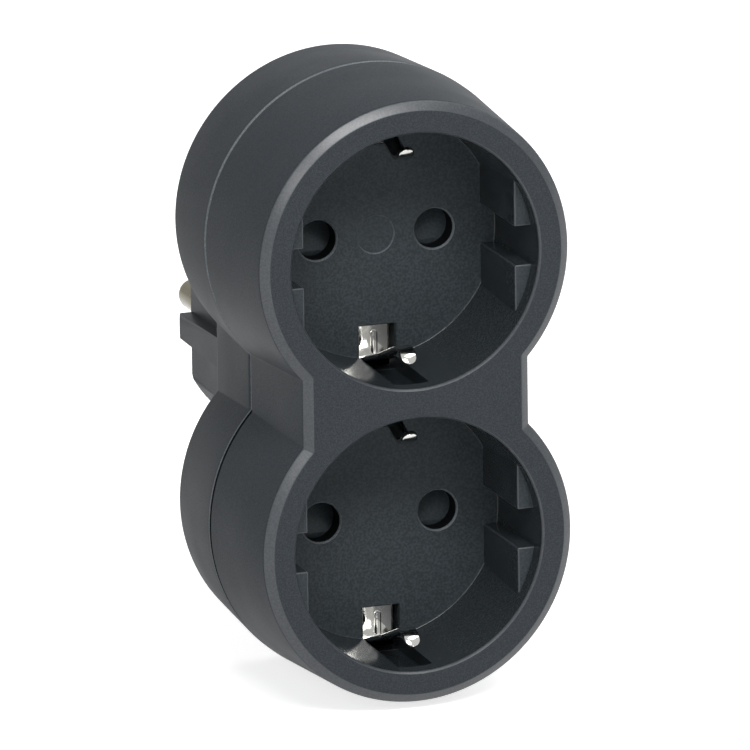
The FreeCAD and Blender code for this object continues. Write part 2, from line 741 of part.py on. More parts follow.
def bus_bar(doc, s, layout, side, label):
    """A stamped strip beside the contacts, with a bent tab under the plug pin."""
    body = new_body(doc, label)
    inner = layout.pin_side + s.bus_offset
    outer = inner + s.bus_sheet
    end = layout.upper + s.bus_overhang
    front = layout.contact_front + s.bus_recess
    notch = s.bus_tab_half + s.bus_sheet
    strip = new_sketch(body, "YZ_Plane", "strip_outline", inner * side)
    polygon(strip, [
        (front, end), (front, -end), (layout.inner_rear, -end), (layout.inner_rear, -notch),
        (layout.collar_front, -notch), (layout.collar_front, notch), (layout.inner_rear, notch),
        (layout.inner_rear, end),
    ])
    extrude(body, strip, "strip", s.bus_sheet, reverse=side < 0)
    tab = new_sketch(body, "XZ_Plane", "tab_outline", -layout.tab_front)
    start = (layout.pin_side - s.bus_tab_half) * side
    rectangle(tab, (start, -s.bus_tab_half), (outer * side, s.bus_tab_half))
    extrude(body, tab, "tab", s.bus_sheet)
    holes = new_sketch(body, "XZ_Plane", "tail_hole_outline", -layout.tab_front)
    circle(holes, (layout.pin_side * side, 0), s.pin_tail_radius + s.rivet_play)
    extrude(body, holes, "tail_hole", s.bus_sheet, cut=True)
    rivets = new_sketch(body, "YZ_Plane", "rivet_hole_outline", inner * side)
    for lift in (1, -1):
        place = (rivet_depth(s, layout), layout.well(lift) + s.rivet_offset)
        circle(rivets, place, s.rivet_radius + s.rivet_play)
    extrude(body, rivets, "rivet_holes", s.bus_sheet, cut=True, reverse=side < 0)
    return body


def rivet_depth(s, layout):
    return layout.contact_back - s.contact_web_length / 2


def socket_contact(doc, s, layout, side, lift, label):
    """A stamped contact: two sprung leaves with a flared mouth on a riveted web."""
    body = new_body(doc, label)
    centre = layout.well(lift)
    web_outer = layout.pin_side + s.bus_offset
    web_inner = web_outer - s.contact_sheet
    free_side = layout.pin_side - s.contact_reach
    waist = layout.contact_front + layout.contact_length * s.contact_waist_share
    hip = layout.contact_front + layout.contact_length * s.contact_hip_share
    leaves = new_sketch(body, "YZ_Plane", "leaf_profile", free_side * side)
    for half in (1, -1):
        inner = [(layout.contact_front, s.contact_flare), (waist, s.contact_grip),
                 (hip, s.contact_back_gap), (layout.contact_back, s.contact_back_gap)]
        outer = [(y, gap + s.contact_sheet) for y, gap in reversed(inner)]
        polygon(leaves, [(y, centre + gap * half) for y, gap in inner + outer])
    extrude(body, leaves, "leaves", web_outer - free_side, reverse=side < 0)
    web = new_sketch(body, "YZ_Plane", "web_outline", web_inner * side)
    web_front = layout.contact_back - s.contact_web_length
    low = (web_front, centre - s.contact_back_gap - s.contact_sheet)
    rectangle(web, low, (layout.contact_back, centre + s.contact_web_height))
    extrude(body, web, "web", s.contact_sheet, reverse=side < 0)
    hole = new_sketch(body, "YZ_Plane", "rivet_hole_outline", web_inner * side)
    circle(hole, (rivet_depth(s, layout), centre + s.rivet_offset), s.rivet_radius + s.rivet_play)
    extrude(body, hole, "rivet_hole", s.contact_sheet, cut=True, reverse=side < 0)
    return body


# Earth path


def arm_outline(s, layout):
    """Side view of a bracket's arm as (y, distance from the axis), near face then far face."""
    tip = layout.front + s.clip_recess
    waist = tip + s.clip_curl_length
    leg_outer = s.clip_leg + s.sheet_thickness
    near_face = [
        (layout.cover_back, s.clip_leg),
        (layout.plate_front, s.clip_leg),
        (layout.plate_front, s.clip_root - s.clip_root_sheet),
        (waist, s.clip_waist),
        (tip, s.clip_tip),
    ]
    far_face = [
        (tip + s.clip_bend_shift, s.clip_tip + s.clip_end_sheet),
        (waist + s.clip_bend_shift, s.clip_waist + s.clip_waist_sheet),
        (layout.plate_back, s.clip_root),
        (layout.plate_back, leg_outer),
        (layout.bracket_back, leg_outer),
    ]
    return near_face + far_face


def earth_bracket(doc, s, layout, lift, label):
    """A stamped bracket behind a well's floor: a base, two joggled legs and a clip at each end."""
    body = new_body(doc, label)
    centre = layout.well(lift)
    arm = arm_outline(s, layout)
    profile = new_sketch(body, "YZ_Plane", "side_profile")
    upper = [(y, centre + reach) for y, reach in arm]
    lower = [(y, centre - reach) for y, reach in reversed(arm)]
    polygon(profile, upper + lower)
    extrude(body, profile, "strip", s.clip_width, middle=True)
    clip_tongue(body, s, layout, centre)
    clip_stiffener(body, s, layout, centre)
    hole = new_sketch(body, "XZ_Plane", "rivet_hole_outline", -layout.cover_back)
    circle(hole, (0, s.earth_rivet_place * lift), s.rivet_radius + s.rivet_play)
    extrude(body, hole, "rivet_hole", s.sheet_thickness, cut=True)
    return body


def clip_tongue(body, s, layout, centre):
    """Cut each clip down to a narrow tongue with a rounded tip."""
    half_root = s.clip_width / 2
    half_tip = s.clip_tip_width / 2
    corner = s.clip_tip_rounding
    tip = layout.front + s.clip_recess
    shoulder = layout.plate_front - s.clip_shoulder
    outside = half_root + s.cut_margin
    trim = new_sketch(body, "XY_Plane", "tongue_outline", centre)
    for side in (1, -1):
        polygon(trim, [
            ((half_tip - corner) * side, tip - s.cut_margin),
            ((half_tip - corner) * side, tip),
            Arc(((half_tip - corner) * side, tip + corner)),
            (half_tip * side, tip + corner),
            (half_tip * side, shoulder - s.clip_taper),
            (half_root * side, shoulder),
            (outside * side, shoulder),
            (outside * side, tip - s.cut_margin),
        ])
    extrude(body, trim, "tongue", (s.clip_root + s.cut_margin) * 2, cut=True, middle=True)


def clip_stiffener(body, s, layout, centre):
    """A pressed rib up the middle of each clip's plate."""
    start = layout.plate_front - s.clip_rib_height
    sketch = new_sketch(body, "XZ_Plane", "stiffener_outline", -start)
    half = s.clip_rib_width / 2
    for side in (1, -1):
        low = s.window_inner + s.plate_play
        high = s.clip_root - s.sheet_thickness * 2
        rectangle(sketch, (-half, centre + low * side), (half, centre + high * side))
    extrude(body, sketch, "stiffeners", s.clip_rib_height + s.sheet_thickness / 2)


def earth_strap(doc, s, layout):
    """A strap that joins both brackets and carries the plug's two earth contacts."""
    body = new_body(doc, "earth_strap")
    inner = s.strap_reach - s.sheet_thickness
    end = -s.strap_end_gap
    profile = new_sketch(body, "YZ_Plane", "side_profile")
    polygon(profile, [
        (end, s.strap_reach), (layout.bracket_back, s.strap_reach),
        (layout.bracket_back, -s.strap_reach), (end, -s.strap_reach),
        (end, -inner), (layout.strap_back, -inner), (layout.strap_back, inner), (end, inner),
    ])
    extrude(body, profile, "strap", s.strap_width, middle=True)
    holes = new_sketch(body, "XZ_Plane", "rivet_hole_outline", -layout.bracket_back)
    for lift in (1, -1):
        circle(holes, (0, s.earth_rivet_place * lift), s.rivet_radius + s.rivet_play)
    extrude(body, holes, "rivet_holes", s.sheet_thickness, cut=True)
    return body


# Shutters


def shutter(doc, s, layout, lift, label):
    """A sliding shutter: a ramp before each pin hole and a thick middle for its spring."""
    body = new_body(doc, label)
    centre = layout.well(lift)
    half = s.shutter_half_height
    ramp_foot = centre - s.plug_pin_radius
    ramp = new_sketch(body, "YZ_Plane", "ramp_profile")
    polygon(ramp, [
        (layout.shutter_front, centre - half), (layout.shutter_front, ramp_foot),
        (layout.shutter_back - s.shutter_nose, centre + half), (layout.shutter_back, centre + half),
        (layout.shutter_back, centre - half),
    ])
    extrude(body, ramp, "ramp", s.shutter_half_width * 2, middle=True)
    core = new_sketch(body, "YZ_Plane", "core_profile")
    rectangle(core, (layout.shutter_front, centre - half), (layout.shutter_back, centre + half))
    extrude(body, core, "core", s.shutter_core * 2, middle=True)
    pocket = new_sketch(body, "XZ_Plane", "spring_pocket_outline", -layout.shutter_front)
    half_pocket = s.spring_pocket_width / 2
    low = centre - half
    rectangle(pocket, (-half_pocket, low), (half_pocket, low + s.spring_pocket_depth))
    extrude(body, pocket, "spring_pocket", s.shutter_thickness, cut=True)

    def is_corner(box):
        """Tell whether an edge's box is one of the two lower corners along Y."""
        at_side = near(box.XLength, 0) and near(abs(box.XMin), s.shutter_half_width)
        return at_side and near(box.ZMin, low) and near(box.ZMax, low)

    round_edges(body, "corners", is_corner, s.shutter_corner)
    return body


def shutter_cover(doc, s, layout, lift, label):
    """A moulded tray that guides the shutter on the back of a well's floor."""
    body = new_body(doc, label)
    centre = layout.well(lift)
    inner_half = s.shutter_half_width + s.shutter_gap
    outer_half = inner_half + s.cover_rim
    low = centre + layout.shutter_low
    top = centre + layout.shutter_top
    block = new_sketch(body, "XZ_Plane", "block_outline", -layout.floor_back)
    rectangle(block, (-outer_half, low - s.cover_rim), (outer_half, top + s.cover_rim))
    extrude(body, block, "block", layout.cover_back - layout.floor_back)
    room = new_sketch(body, "XZ_Plane", "room_outline", -layout.floor_back)
    rectangle(room, (-inner_half, low), (inner_half, top))
    extrude(body, room, "room", layout.cover_front - layout.floor_back, cut=True)
    holes = new_sketch(body, "XZ_Plane", "pin_hole_outline", -layout.cover_front)
    for side in (1, -1):
        circle(holes, (layout.pin_side * side, centre), s.pin_hole_radius)
    extrude(body, holes, "pin_holes", s.cover_wall, cut=True)
    if lift > 0:
        cover_rivet_room(body, s, layout)
    return body


def cover_rivet_room(body, s, layout):
    """A recess in the upper cover for the head of the earth rivet behind it."""
    depth = s.rivet_head + s.earth_rivet_room
    sketch = new_sketch(body, "XZ_Plane", "rivet_room_outline", -(layout.cover_back - depth))
    circle(sketch, (0, s.earth_rivet_place), s.rivet_head_radius + s.earth_rivet_room)
    extrude(body, sketch, "rivet_room", depth, cut=True)


def shutter_spring(doc, s, layout, lift, label):
    """A coil spring between the cover's lower rim and its shutter: square wire, straight runs."""
    half_wire = s.spring_wire.value / 2
    end_room = half_wire + s.spring_play.value
    low = (layout.well(lift) + layout.shutter_low).value + end_room
    seat = layout.well(lift) - s.shutter_half_height + s.spring_pocket_depth
    middle_y = ((layout.shutter_front + layout.shutter_back) / 2).value
    radius = s.spring_radius.value
    runs = round(s.spring_turns.value * RUNS_PER_TURN)
    climb = (seat.value - end_room - low) / runs
    points = []
    for run in range(runs + 1):
        angle = 2 * math.pi * run / RUNS_PER_TURN
        y = middle_y + radius * math.sin(angle)
        points.append(Vector(radius * math.cos(angle), y, low + climb * run))
    start = points[0]
    corners = [start + Vector(x * half_wire, 0, z * half_wire)
               for x, z in ((-1, -1), (1, -1), (1, 1), (-1, 1), (-1, -1))]
    path = Part.makePolygon(points)
    wire = Part.makePolygon(corners)
    spring = doc.addObject("Part::Feature", label)
    spring.Shape = path.makePipeShell([wire], True, False, 1)
    spring.Label = label
    return spring


# Fasteners


def turned_group(doc, label, solids):
    """One node for a group of alike turned pieces, each a separate solid."""
    group = doc.addObject("Part::Compound", label)
    group.Label = label
    group.Links = solids
    return group


def cylinder(doc, name, radius, height):
    obj = doc.addObject("Part::Cylinder", name)
    bind(obj, "Radius", radius)
    bind(obj, "Height", height)
    return obj


def place_along(obj, direction, place):
    """Turn a cylinder's axis from Z to a direction and bind its foot to a place."""
    obj.Placement = FreeCAD.Placement(Vector(0, 0, 0), FreeCAD.Rotation(Vector(0, 0, 1), direction))
    for letter, size in zip("xyz", place):
        bind(obj, f"Placement.Base.{letter}", size)


def fused(doc, name, pieces):
    obj = doc.addObject("Part::MultiFuse", name)
    obj.Shapes = pieces
    return obj


def contact_rivets(doc, s, layout):
    """One rivet through each contact's web and its bus bar."""
    solids = []
    inner = layout.pin_side + s.bus_offset - s.contact_sheet
    outer = layout.pin_side + s.bus_offset + s.bus_sheet
    y = rivet_depth(s, layout)
    for side in (1, -1):
        for lift in (1, -1):
            name = f"contact_rivet_{len(solids)}"
            z = layout.well(lift) + s.rivet_offset
            direction = Vector(side, 0, 0)
            shank = cylinder(doc, f"{name}_shank", s.rivet_radius, outer - inner)
            place_along(shank, direction, (inner * side, y, z))
            inner_head = cylinder(doc, f"{name}_inner", s.rivet_head_radius, s.rivet_head)
            place_along(inner_head, direction, ((inner - s.rivet_head) * side, y, z))
            outer_head = cylinder(doc, f"{name}_outer", s.rivet_head_radius, s.rivet_head)
            place_along(outer_head, direction, (outer * side, y, z))
            solids.append(fused(doc, name, [shank, inner_head, outer_head]))
    return turned_group(doc, "contact_rivets", solids)


def earth_rivets(doc, s, layout):
    """One rivet through each bracket and the strap."""
    solids = []
    direction = Vector(0, 1, 0)
    for lift in (1, -1):
        name = f"earth_rivet_{len(solids)}"
        z = s.earth_rivet_place * lift
        shank = cylinder(doc, f"{name}_shank", s.rivet_radius, s.sheet_thickness * 2)
        place_along(shank, direction, (0, layout.cover_back, z))
        front_head = cylinder(doc, f"{name}_front", s.rivet_head_radius, s.rivet_head)
        place_along(front_head, direction, (0, layout.cover_back - s.rivet_head, z))
        rear_head = cylinder(doc, f"{name}_rear", s.rivet_head_radius, s.rivet_head)
        place_along(rear_head, direction, (0, layout.strap_back, z))
        solids.append(fused(doc, name, [shank, front_head, rear_head]))
    return turned_group(doc, "earth_rivets", solids)


def housing_screws(doc, s, layout):
    """Four pan head screws that hold the two shells together."""
    solids = []
    seat = layout.boss_split + s.screw_seat
    tip = layout.floor_back + s.screw_tip_gap
    direction = Vector(0, 1, 0)
    for x, z in boss_places(s, layout):
        name = f"housing_screw_{len(solids)}"
        shank = cylinder(doc, f"{name}_shank", s.screw_radius, seat - tip)
        place_along(shank, direction, (x, tip, z))
        head = cylinder(doc, f"{name}_head", s.screw_head_radius, s.screw_head)
        place_along(head, direction, (x, seat, z))
        pan = fused(doc, f"{name}_pan", [shank, head])
        slot = doc.addObject("Part::Box", f"{name}_slot")
        bind(slot, "Length", (s.screw_head_radius + s.cut_margin) * 2)
        bind(slot, "Width", s.screw_head)
        bind(slot, "Height", s.screw_slot)
        bind(slot, "Placement.Base.x", x - s.screw_head_radius - s.cut_margin)
        bind(slot, "Placement.Base.y", seat + s.screw_head / 2)
        bind(slot, "Placement.Base.z", z - s.screw_slot / 2)
        cut = doc.addObject("Part::Cut", name)
        cut.Base = pan
        cut.Tool = slot
        solids.append(cut)
    return turned_group(doc, "housing_screws", solids)


# Assembly and export


def build(doc):
    s = Sizes(doc)
    layout = Layout(s)
    pieces = [front_housing(doc, s, layout), rear_housing(doc, s, layout)]
    for side, hand in ((-1, "left"), (1, "right")):
        pieces.append(plug_pin(doc, s, layout, side, f"{hand}_plug_pin"))
        pieces.append(bus_bar(doc, s, layout, side, f"{hand}_bus_bar"))
        for lift, level in ((1, "upper"), (-1, "lower")):
            pieces.append(socket_contact(doc, s, layout, side, lift, f"{level}_{hand}_contact"))
    for lift, level in ((1, "upper"), (-1, "lower")):
        pieces.append(earth_bracket(doc, s, layout, lift, f"{level}_earth_bracket"))
        pieces.append(shutter(doc, s, layout, lift, f"{level}_shutter"))
        pieces.append(shutter_cover(doc, s, layout, lift, f"{level}_shutter_cover"))
        pieces.append(shutter_spring(doc, s, layout, lift, f"{level}_shutter_spring"))
    pieces.append(earth_strap(doc, s, layout))
    pieces.append(contact_rivets(doc, s, layout))
    pieces.append(earth_rivets(doc, s, layout))
    pieces.append(housing_screws(doc, s, layout))
    doc.recompute()
    return pieces


def check_states(doc):
    """Stop if an object of the document failed to compute."""
    for obj in doc.Objects:
        if "Invalid" in obj.State or "Error" in obj.State:
            raise ValueError(f"{obj.Name} is {obj.State}")


ADDING = ("PartDesign::Pad", "PartDesign::Revolution")
CUTTING = ("PartDesign::Pocket", "PartDesign::Groove")


def check_volumes(body):
    """Stop if a feature of a body adds or cuts nothing."""
    before = 0.0
    for feature in body.Group:
        if not hasattr(feature, "BaseFeature"):
            continue
        volume = feature.Shape.Volume
        if feature.TypeId in ADDING and volume <= before + 1e-6:
            raise ValueError(f"{feature.Name} adds nothing")
        if feature.TypeId in CUTTING and volume >= before - 1e-6:
            raise ValueError(f"{feature.Name} cuts nothing")
        before = volume


def main():
    doc = FreeCAD.newDocument("socket_adapter")
    pieces = build(doc)
    check_states(doc)
    os.makedirs("parts", exist_ok=True)
    for piece in pieces:
        if piece.TypeId == "PartDesign::Body":
            check_volumes(piece)
        shape = piece.Shape
        if shape.isNull() or not shape.isValid():
            raise ValueError(f"{piece.Label} has no valid shape")
        shape.exportStep(f"parts/{piece.Label}.step")
        print(f"{piece.Label:24s} {len(shape.Solids)} solid, {shape.Volume:10.1f} mm3")


main()
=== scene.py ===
"""Two-way earthed socket adapter: finishes, fine shapes, camera and light."""

import logging
import math
from dataclasses import dataclass, field
from enum import Enum
from typing import Callable, Sequence

import bmesh
import bpy
from mathutils import Matrix, Vector


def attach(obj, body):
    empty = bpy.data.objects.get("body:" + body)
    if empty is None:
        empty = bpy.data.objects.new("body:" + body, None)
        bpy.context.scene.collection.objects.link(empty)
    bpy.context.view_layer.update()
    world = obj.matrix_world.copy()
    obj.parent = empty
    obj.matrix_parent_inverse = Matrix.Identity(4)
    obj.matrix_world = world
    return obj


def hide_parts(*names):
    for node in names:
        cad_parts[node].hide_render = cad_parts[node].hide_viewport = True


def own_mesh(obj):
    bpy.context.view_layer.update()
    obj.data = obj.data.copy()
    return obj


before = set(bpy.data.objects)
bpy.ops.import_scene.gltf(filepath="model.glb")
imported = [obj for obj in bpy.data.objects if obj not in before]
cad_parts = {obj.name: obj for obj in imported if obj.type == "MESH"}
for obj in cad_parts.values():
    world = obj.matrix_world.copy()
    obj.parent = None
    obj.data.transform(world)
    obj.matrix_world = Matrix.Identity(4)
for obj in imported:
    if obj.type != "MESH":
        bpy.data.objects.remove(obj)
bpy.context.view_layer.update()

log = logging.getLogger("socket_adapter")

Point = tuple[float, ...]
Loop = list[Vector]
Colour = tuple[float, float, float]
Piece = bpy.types.Object
Socket = bpy.types.NodeSocket
Tree = bpy.types.NodeTree
Feed = Socket | float | tuple

MM = 0.001  # metres in a millimetre
RING_FLATS = 192  # flats round a large circle
RING_ARC = 150  # flats along each ring of a figure eight
NECK_FILLET = 0.5  # rounding where a neck meets a ring
FILLET_FLATS = 4  # flats across that rounding
MARGIN = 1.0  # how far a cutter stands past what it cuts
FINE_MARGIN = 0.1  # the same, for the finest forms
OVERLAP = 0.2  # how far an added solid sinks into what it joins
NEAR = 0.1  # slack for a face near an edge
ON_PLANE = 0.01  # slack for a face that lies on a plane
TILT = (0.2, 0.97)  # share of Y in the normal of a sloping face
CHAMFER_TILT = (0.5, 0.95)  # the same, for the chamfer round the front face
FLAT_FROM = 0.5  # share of Y in a normal from which a face counts as flat
FORWARD_BELOW = -0.1  # share of Y in a normal below which a face looks forwards
STRIP_CORNER = 0.28  # rounding of a strip's edges, as a share of its thickness
STRIP_STEPS = 3  # flats in that rounding


class Side(Enum):
    """A pair of places, by the sign of one coordinate."""

    @property
    def word(self) -> str:
        """The place's name as the nodes spell it."""
        return self.name.lower()


class Level(Side):
    """The two wells, by the sign of their height."""

    UPPER = 1
    LOWER = -1


class Hand(Side):
    """The two sides of the adapter, by the sign of X."""

    LEFT = -1
    RIGHT = 1


class ShellFace(Enum):
    """Kinds of face on the front shell, by the slot of their finish."""

    OUTSIDE = 0
    # Well and slot walls, with the well finish's painted shade.
    WALL = 1
    EDGE = 2
    # Well floors and rib fronts, with the floor finish's painted shade.
    FLOOR = 3
    # Hole and disc rims, with a painted highlight.
    RIM = 4
    # Pin bores, with painted shade.
    BORE = 5


class RearFace(Enum):
    """Kinds of face on the rear shell, by the slot of their finish."""

    OUTSIDE = 0
    # The seam line, with a painted highlight.
    LINE = 1
    # The open seam's back wall, with painted shade.
    GAP = 2
    # The neck's rounded seam edge, with a painted sheen.
    NECK = 3


class Cut(Enum):
    """The boolean operations on a shell."""

    ADD = "UNION"
    REMOVE = "DIFFERENCE"


@dataclass(frozen=True)
class Layout:
    """Depths along Y, places and sizes that several parts share, in millimetres.

    The origin is the centre of the plug's end face, and the wells open towards -Y.
    """

    plug_length: float = 18.5
    housing_depth: float = 39.4
    seam_depth: float = 21.5
    well_depth: float = 17.8
    floor_wall: float = 3.0
    rear_wall: float = 2.0
    side_wall: float = 1.8
    rim: Point = (26.3, 19.3)
    shutter_gap: float = 0.2
    shutter_thickness: float = 3.0
    cover_wall: float = 1.4
    sheet: float = 0.7
    boss_depth: float = 9.0
    pitch: float = 44.7
    pin_side: float = 9.5
    boss_side: float = 9.5
    boss_rise: float = 16.2

    @property
    def rear(self) -> float:
        """The housing's rear face."""
        return -self.plug_length

    @property
    def inner_rear(self) -> float:
        """The inside of the rear wall."""
        return self.rear - self.rear_wall

    @property
    def front(self) -> float:
        """The housing's front face."""
        return self.rear - self.housing_depth

    @property
    def seam(self) -> float:
        """The seam of the two shells."""
        return self.front + self.seam_depth

    @property
    def floor(self) -> float:
        """The wells' floor."""
        return self.front + self.well_depth

    @property
    def floor_back(self) -> float:
        """The back of the wells' floor."""
        return self.floor + self.floor_wall

    @property
    def shutter_middle(self) -> float:
        """The middle of a shutter's thickness."""
        return self.floor_back + self.shutter_gap + self.shutter_thickness / 2

    @property
    def cover_back(self) -> float:
        """The back of the shutter covers."""
        return self.floor_back + self.shutter_gap * 2 + self.shutter_thickness + self.cover_wall

    @property
    def bracket_back(self) -> float:
        """The back of the earth brackets."""
        return self.cover_back + self.sheet

    @property
    def boss_split(self) -> float:
        """Where the front and rear screw bosses meet."""
        return self.floor + self.boss_depth

    def height(self, level: Level) -> float:
        """Height of a well's axis."""
        return self.pitch / 2 * level.value

    def bosses(self) -> list[Point]:
        """The housing screws' places as (x, z)."""
        rise = self.pitch / 2 + self.boss_rise
        return [(self.boss_side * hand.value, rise * level.value) for level in Level for hand in Hand]


# Mesh building


def linked(item: Piece) -> Piece:
    """Link an object to the scene."""
    bpy.context.scene.collection.objects.link(item)
    return item


def mesh_object(name: str, points: Sequence[Sequence[float]], faces: Sequence[Sequence[int]]) -> Piece:
    """Make an object from points in millimetres, with its faces turned outwards.

    Args:
        name: The object's name.
        points: Corner points in millimetres.
        faces: Corner indices of each face.

    Returns:
        The linked object, at the origin, with its mesh in metres.
    """
    mesh = bpy.data.meshes.new(name)
    mesh.from_pydata([Vector(point) * MM for point in points], [], faces)
    work = bmesh.new()
    work.from_mesh(mesh)
    bmesh.ops.remove_doubles(work, verts=work.verts, dist=1e-7)
    bmesh.ops.recalc_face_normals(work, faces=work.faces)
    work.to_mesh(mesh)
    work.free()
    return linked(bpy.data.objects.new(name, mesh))


def loft(name: str, loops: Sequence[Loop], closed: bool = False) -> Piece:
    """Join closed loops of equally many points into a skin.

    Args:
        name: The object's name.
        loops: Loops in millimetres, in order.
        closed: True joins the last loop to the first instead of capping both.

    Returns:
        The lofted object.
    """
    count = len(loops[0])
    points = [point for loop in loops for point in loop]
    faces: list[list[int]] = []
    for row in range(len(loops) if closed else len(loops) - 1):
        near, far = row * count, (row + 1) % len(loops) * count
        for index in range(count):
            following = (index + 1) % count
            faces.append([near + index, near + following, far + following, far + index])
    if not closed:
        faces.append(list(range(count)))
        faces.append([len(points) - count + index for index in range(count)])
    return mesh_object(name, points, faces)


def rounded(points: Sequence[Point], radii: dict[int, float], steps: int = 4) -> list[Point]:
    """Soften corners of an open profile.

    Args:
        points: Profile points of any dimension.
        radii: Distance from a corner at which its rounding starts, by index.
        steps: Pieces in each rounding.

    Returns:
        The profile with each named corner replaced by a short curve.
    """
    result: list[Point] = []
    for index, point in enumerate(points):
        if index not in radii:
            result.append(tuple(point))
            continue
        corner = Vector(point)
        before = (Vector(points[index - 1]) - corner).normalized() * radii[index] + corner
        after = (Vector(points[index + 1]) - corner).normalized() * radii[index] + corner
        for step in range(steps + 1):
            share = step / steps
            bend = before * (1 - share) ** 2 + corner * (2 * share * (1 - share)) + after * share ** 2
            result.append(tuple(bend))
    return result


def circle(y: float, radius: float, centre: Point, flats: int) -> Loop:
    """Points round an axis along Y, at one depth."""
    angles = [math.tau * index / flats for index in range(flats)]
    return [Vector((centre[0] + radius * math.cos(angle), y, centre[1] + radius * math.sin(angle)))
            for angle in angles]


def rectangle(y: float, low: Point, high: Point) -> Loop:
    """A rectangle at one depth, given by two opposite (x, z) corners."""
    return [Vector((x, y, z)) for x, z in (low, (high[0], low[1]), high, (low[0], high[1]))]


def revolve(name: str, profile: Sequence[Point], centre: Point, flats: int = RING_FLATS) -> Piece:
    """Turn (y, radius) pairs about an axis along Y at an (x, z) place, and cap both ends."""
    return loft(name, [circle(y, radius, centre, flats) for y, radius in profile])


def ring(name: str, depths: Point, radii: Point, centre: Point) -> Piece:
    """A flat ring about an axis along Y, between two depths and two radii."""
    corners = [(depths[0], radii[0]), (depths[0], radii[1]), (depths[1], radii[1]), (depths[1], radii[0])]
    return loft(name, [circle(y, radius, centre, RING_FLATS) for y, radius in corners], closed=True)


def post(place: Point, radius: float, low: float, high: float, flats: int) -> Piece:
    """A straight round post or bore along Y, at an (x, z) place."""
    return revolve("post", [(low, radius), (high, radius)], place, flats)


def posts(places: Sequence[Point], radius: float, low: float, high: float, flats: int) -> list[Piece]:
    """Equal posts or bores at several places."""
    return [post(place, radius, low, high, flats) for place in places]


def block(name: str, low: Point, high: Point, flare: float = 0.0) -> Piece:
    """A straight-edged cutter, which may widen at its lower Y to leave a chamfered rim.

    Args:
        name: The object's name.
        low: Lowest corner.
        high: Highest corner.
        flare: Widening on each side, over an equal depth.

    Returns:
        The block.
    """
    stations = [(low[1], flare)] if flare else []
    stations += [(low[1] + flare, 0.0), (high[1], 0.0)]
    return loft(name, [rectangle(y, (low[0] - extra, low[2] - extra), (high[0] + extra, high[2] + extra))
                       for y, extra in stations])


def span(centre: float, side: int, inner: float, outer: float) -> Point:
    """Lowest and highest of two distances from a centre, towards one side."""
    return tuple(sorted((centre + inner * side, centre + outer * side)))


def joined(items: Sequence[Piece]) -> Piece:
    """Merge objects into the first of them.

    Args:
        items: Mesh objects at the origin.

    Returns:
        The first object, with all the meshes.
    """
    work = bmesh.new()
    for item in items:
        work.from_mesh(item.data)
    work.to_mesh(items[0].data)
    work.free()
    for item in items[1:]:
        bpy.data.objects.remove(item)
    return items[0]


def applied(item: Piece) -> None:
    """Turn an object's modifiers into a plain mesh and drop them.

    Args:
        item: The object.
    """
    bpy.context.view_layer.update()
    graph = bpy.context.evaluated_depsgraph_get()
    mesh = bpy.data.meshes.new_from_object(item.evaluated_get(graph))
    item.modifiers.clear()
    item.data = mesh


def combine(item: Piece, tools: Sequence[Piece], cut: Cut) -> None:
    """Add tools to an object, or cut them out of it.

    Args:
        item: The object that changes.
        tools: Closed solids that don't overlap one another, used up by this.
        cut: What the tools do.
    """
    tool = joined(tools)
    modifier = item.modifiers.new("combine", "BOOLEAN")
    modifier.operation = cut.value
    modifier.solver = "EXACT"
    modifier.object = tool
    applied(item)
    bpy.data.objects.remove(tool)


def bevelled(item: Piece, width: float, segments: int, angle: float) -> None:
    """Round the sharp edges of a simple solid.

    Args:
        item: The object.
        width: Width of the rounding in millimetres.
        segments: Facets across it.
        angle: Smallest edge angle that is rounded, in degrees.
    """
    modifier = item.modifiers.new("bevel", "BEVEL")
    modifier.width = width * MM
    modifier.segments = segments
    modifier.limit_method = "ANGLE"
    modifier.angle_limit = math.radians(angle)
    applied(item)


def mark_faces(item: Piece, kind: Callable[[Vector, Vector], Enum]) -> None:
    """Give each face the finish slot that a rule tells from its middle and its normal."""
    for polygon in item.data.polygons:
        polygon.material_index = kind(polygon.center / MM, polygon.normal).value


# Shader groups and finishes


def shader_group(name: str, inputs: dict[str, float], outputs: Sequence[str]) -> Tree:
    """Start a shader group.

    Args:
        name: The group's name.
        inputs: Its number inputs, with their defaults.
        outputs: Its number outputs.

    Returns:
        The group.
    """
    tree = bpy.data.node_groups.new(name, "ShaderNodeTree")
    for label, value in inputs.items():
        socket = tree.interface.new_socket(name=label, in_out="INPUT", socket_type="NodeSocketFloat")
        socket.default_value = value
    for label in outputs:
        tree.interface.new_socket(name=label, in_out="OUTPUT", socket_type="NodeSocketFloat")
    return tree


def mapped(tree: Tree, value: Socket, target: Socket, **limits: float) -> None:
    """Feed a number through a Map Range node.

    Args:
        tree: The tree that takes the node.
        value: The number.
        target: The socket that takes the result.
        limits: The node's limits, their names with _ for a space.
    """
    node = tree.nodes.new("ShaderNodeMapRange")
    for name, limit in limits.items():
        node.inputs[name.replace("_", " ")].default_value = limit
    tree.links.new(value, node.inputs["Value"])
    tree.links.new(node.outputs["Result"], target)


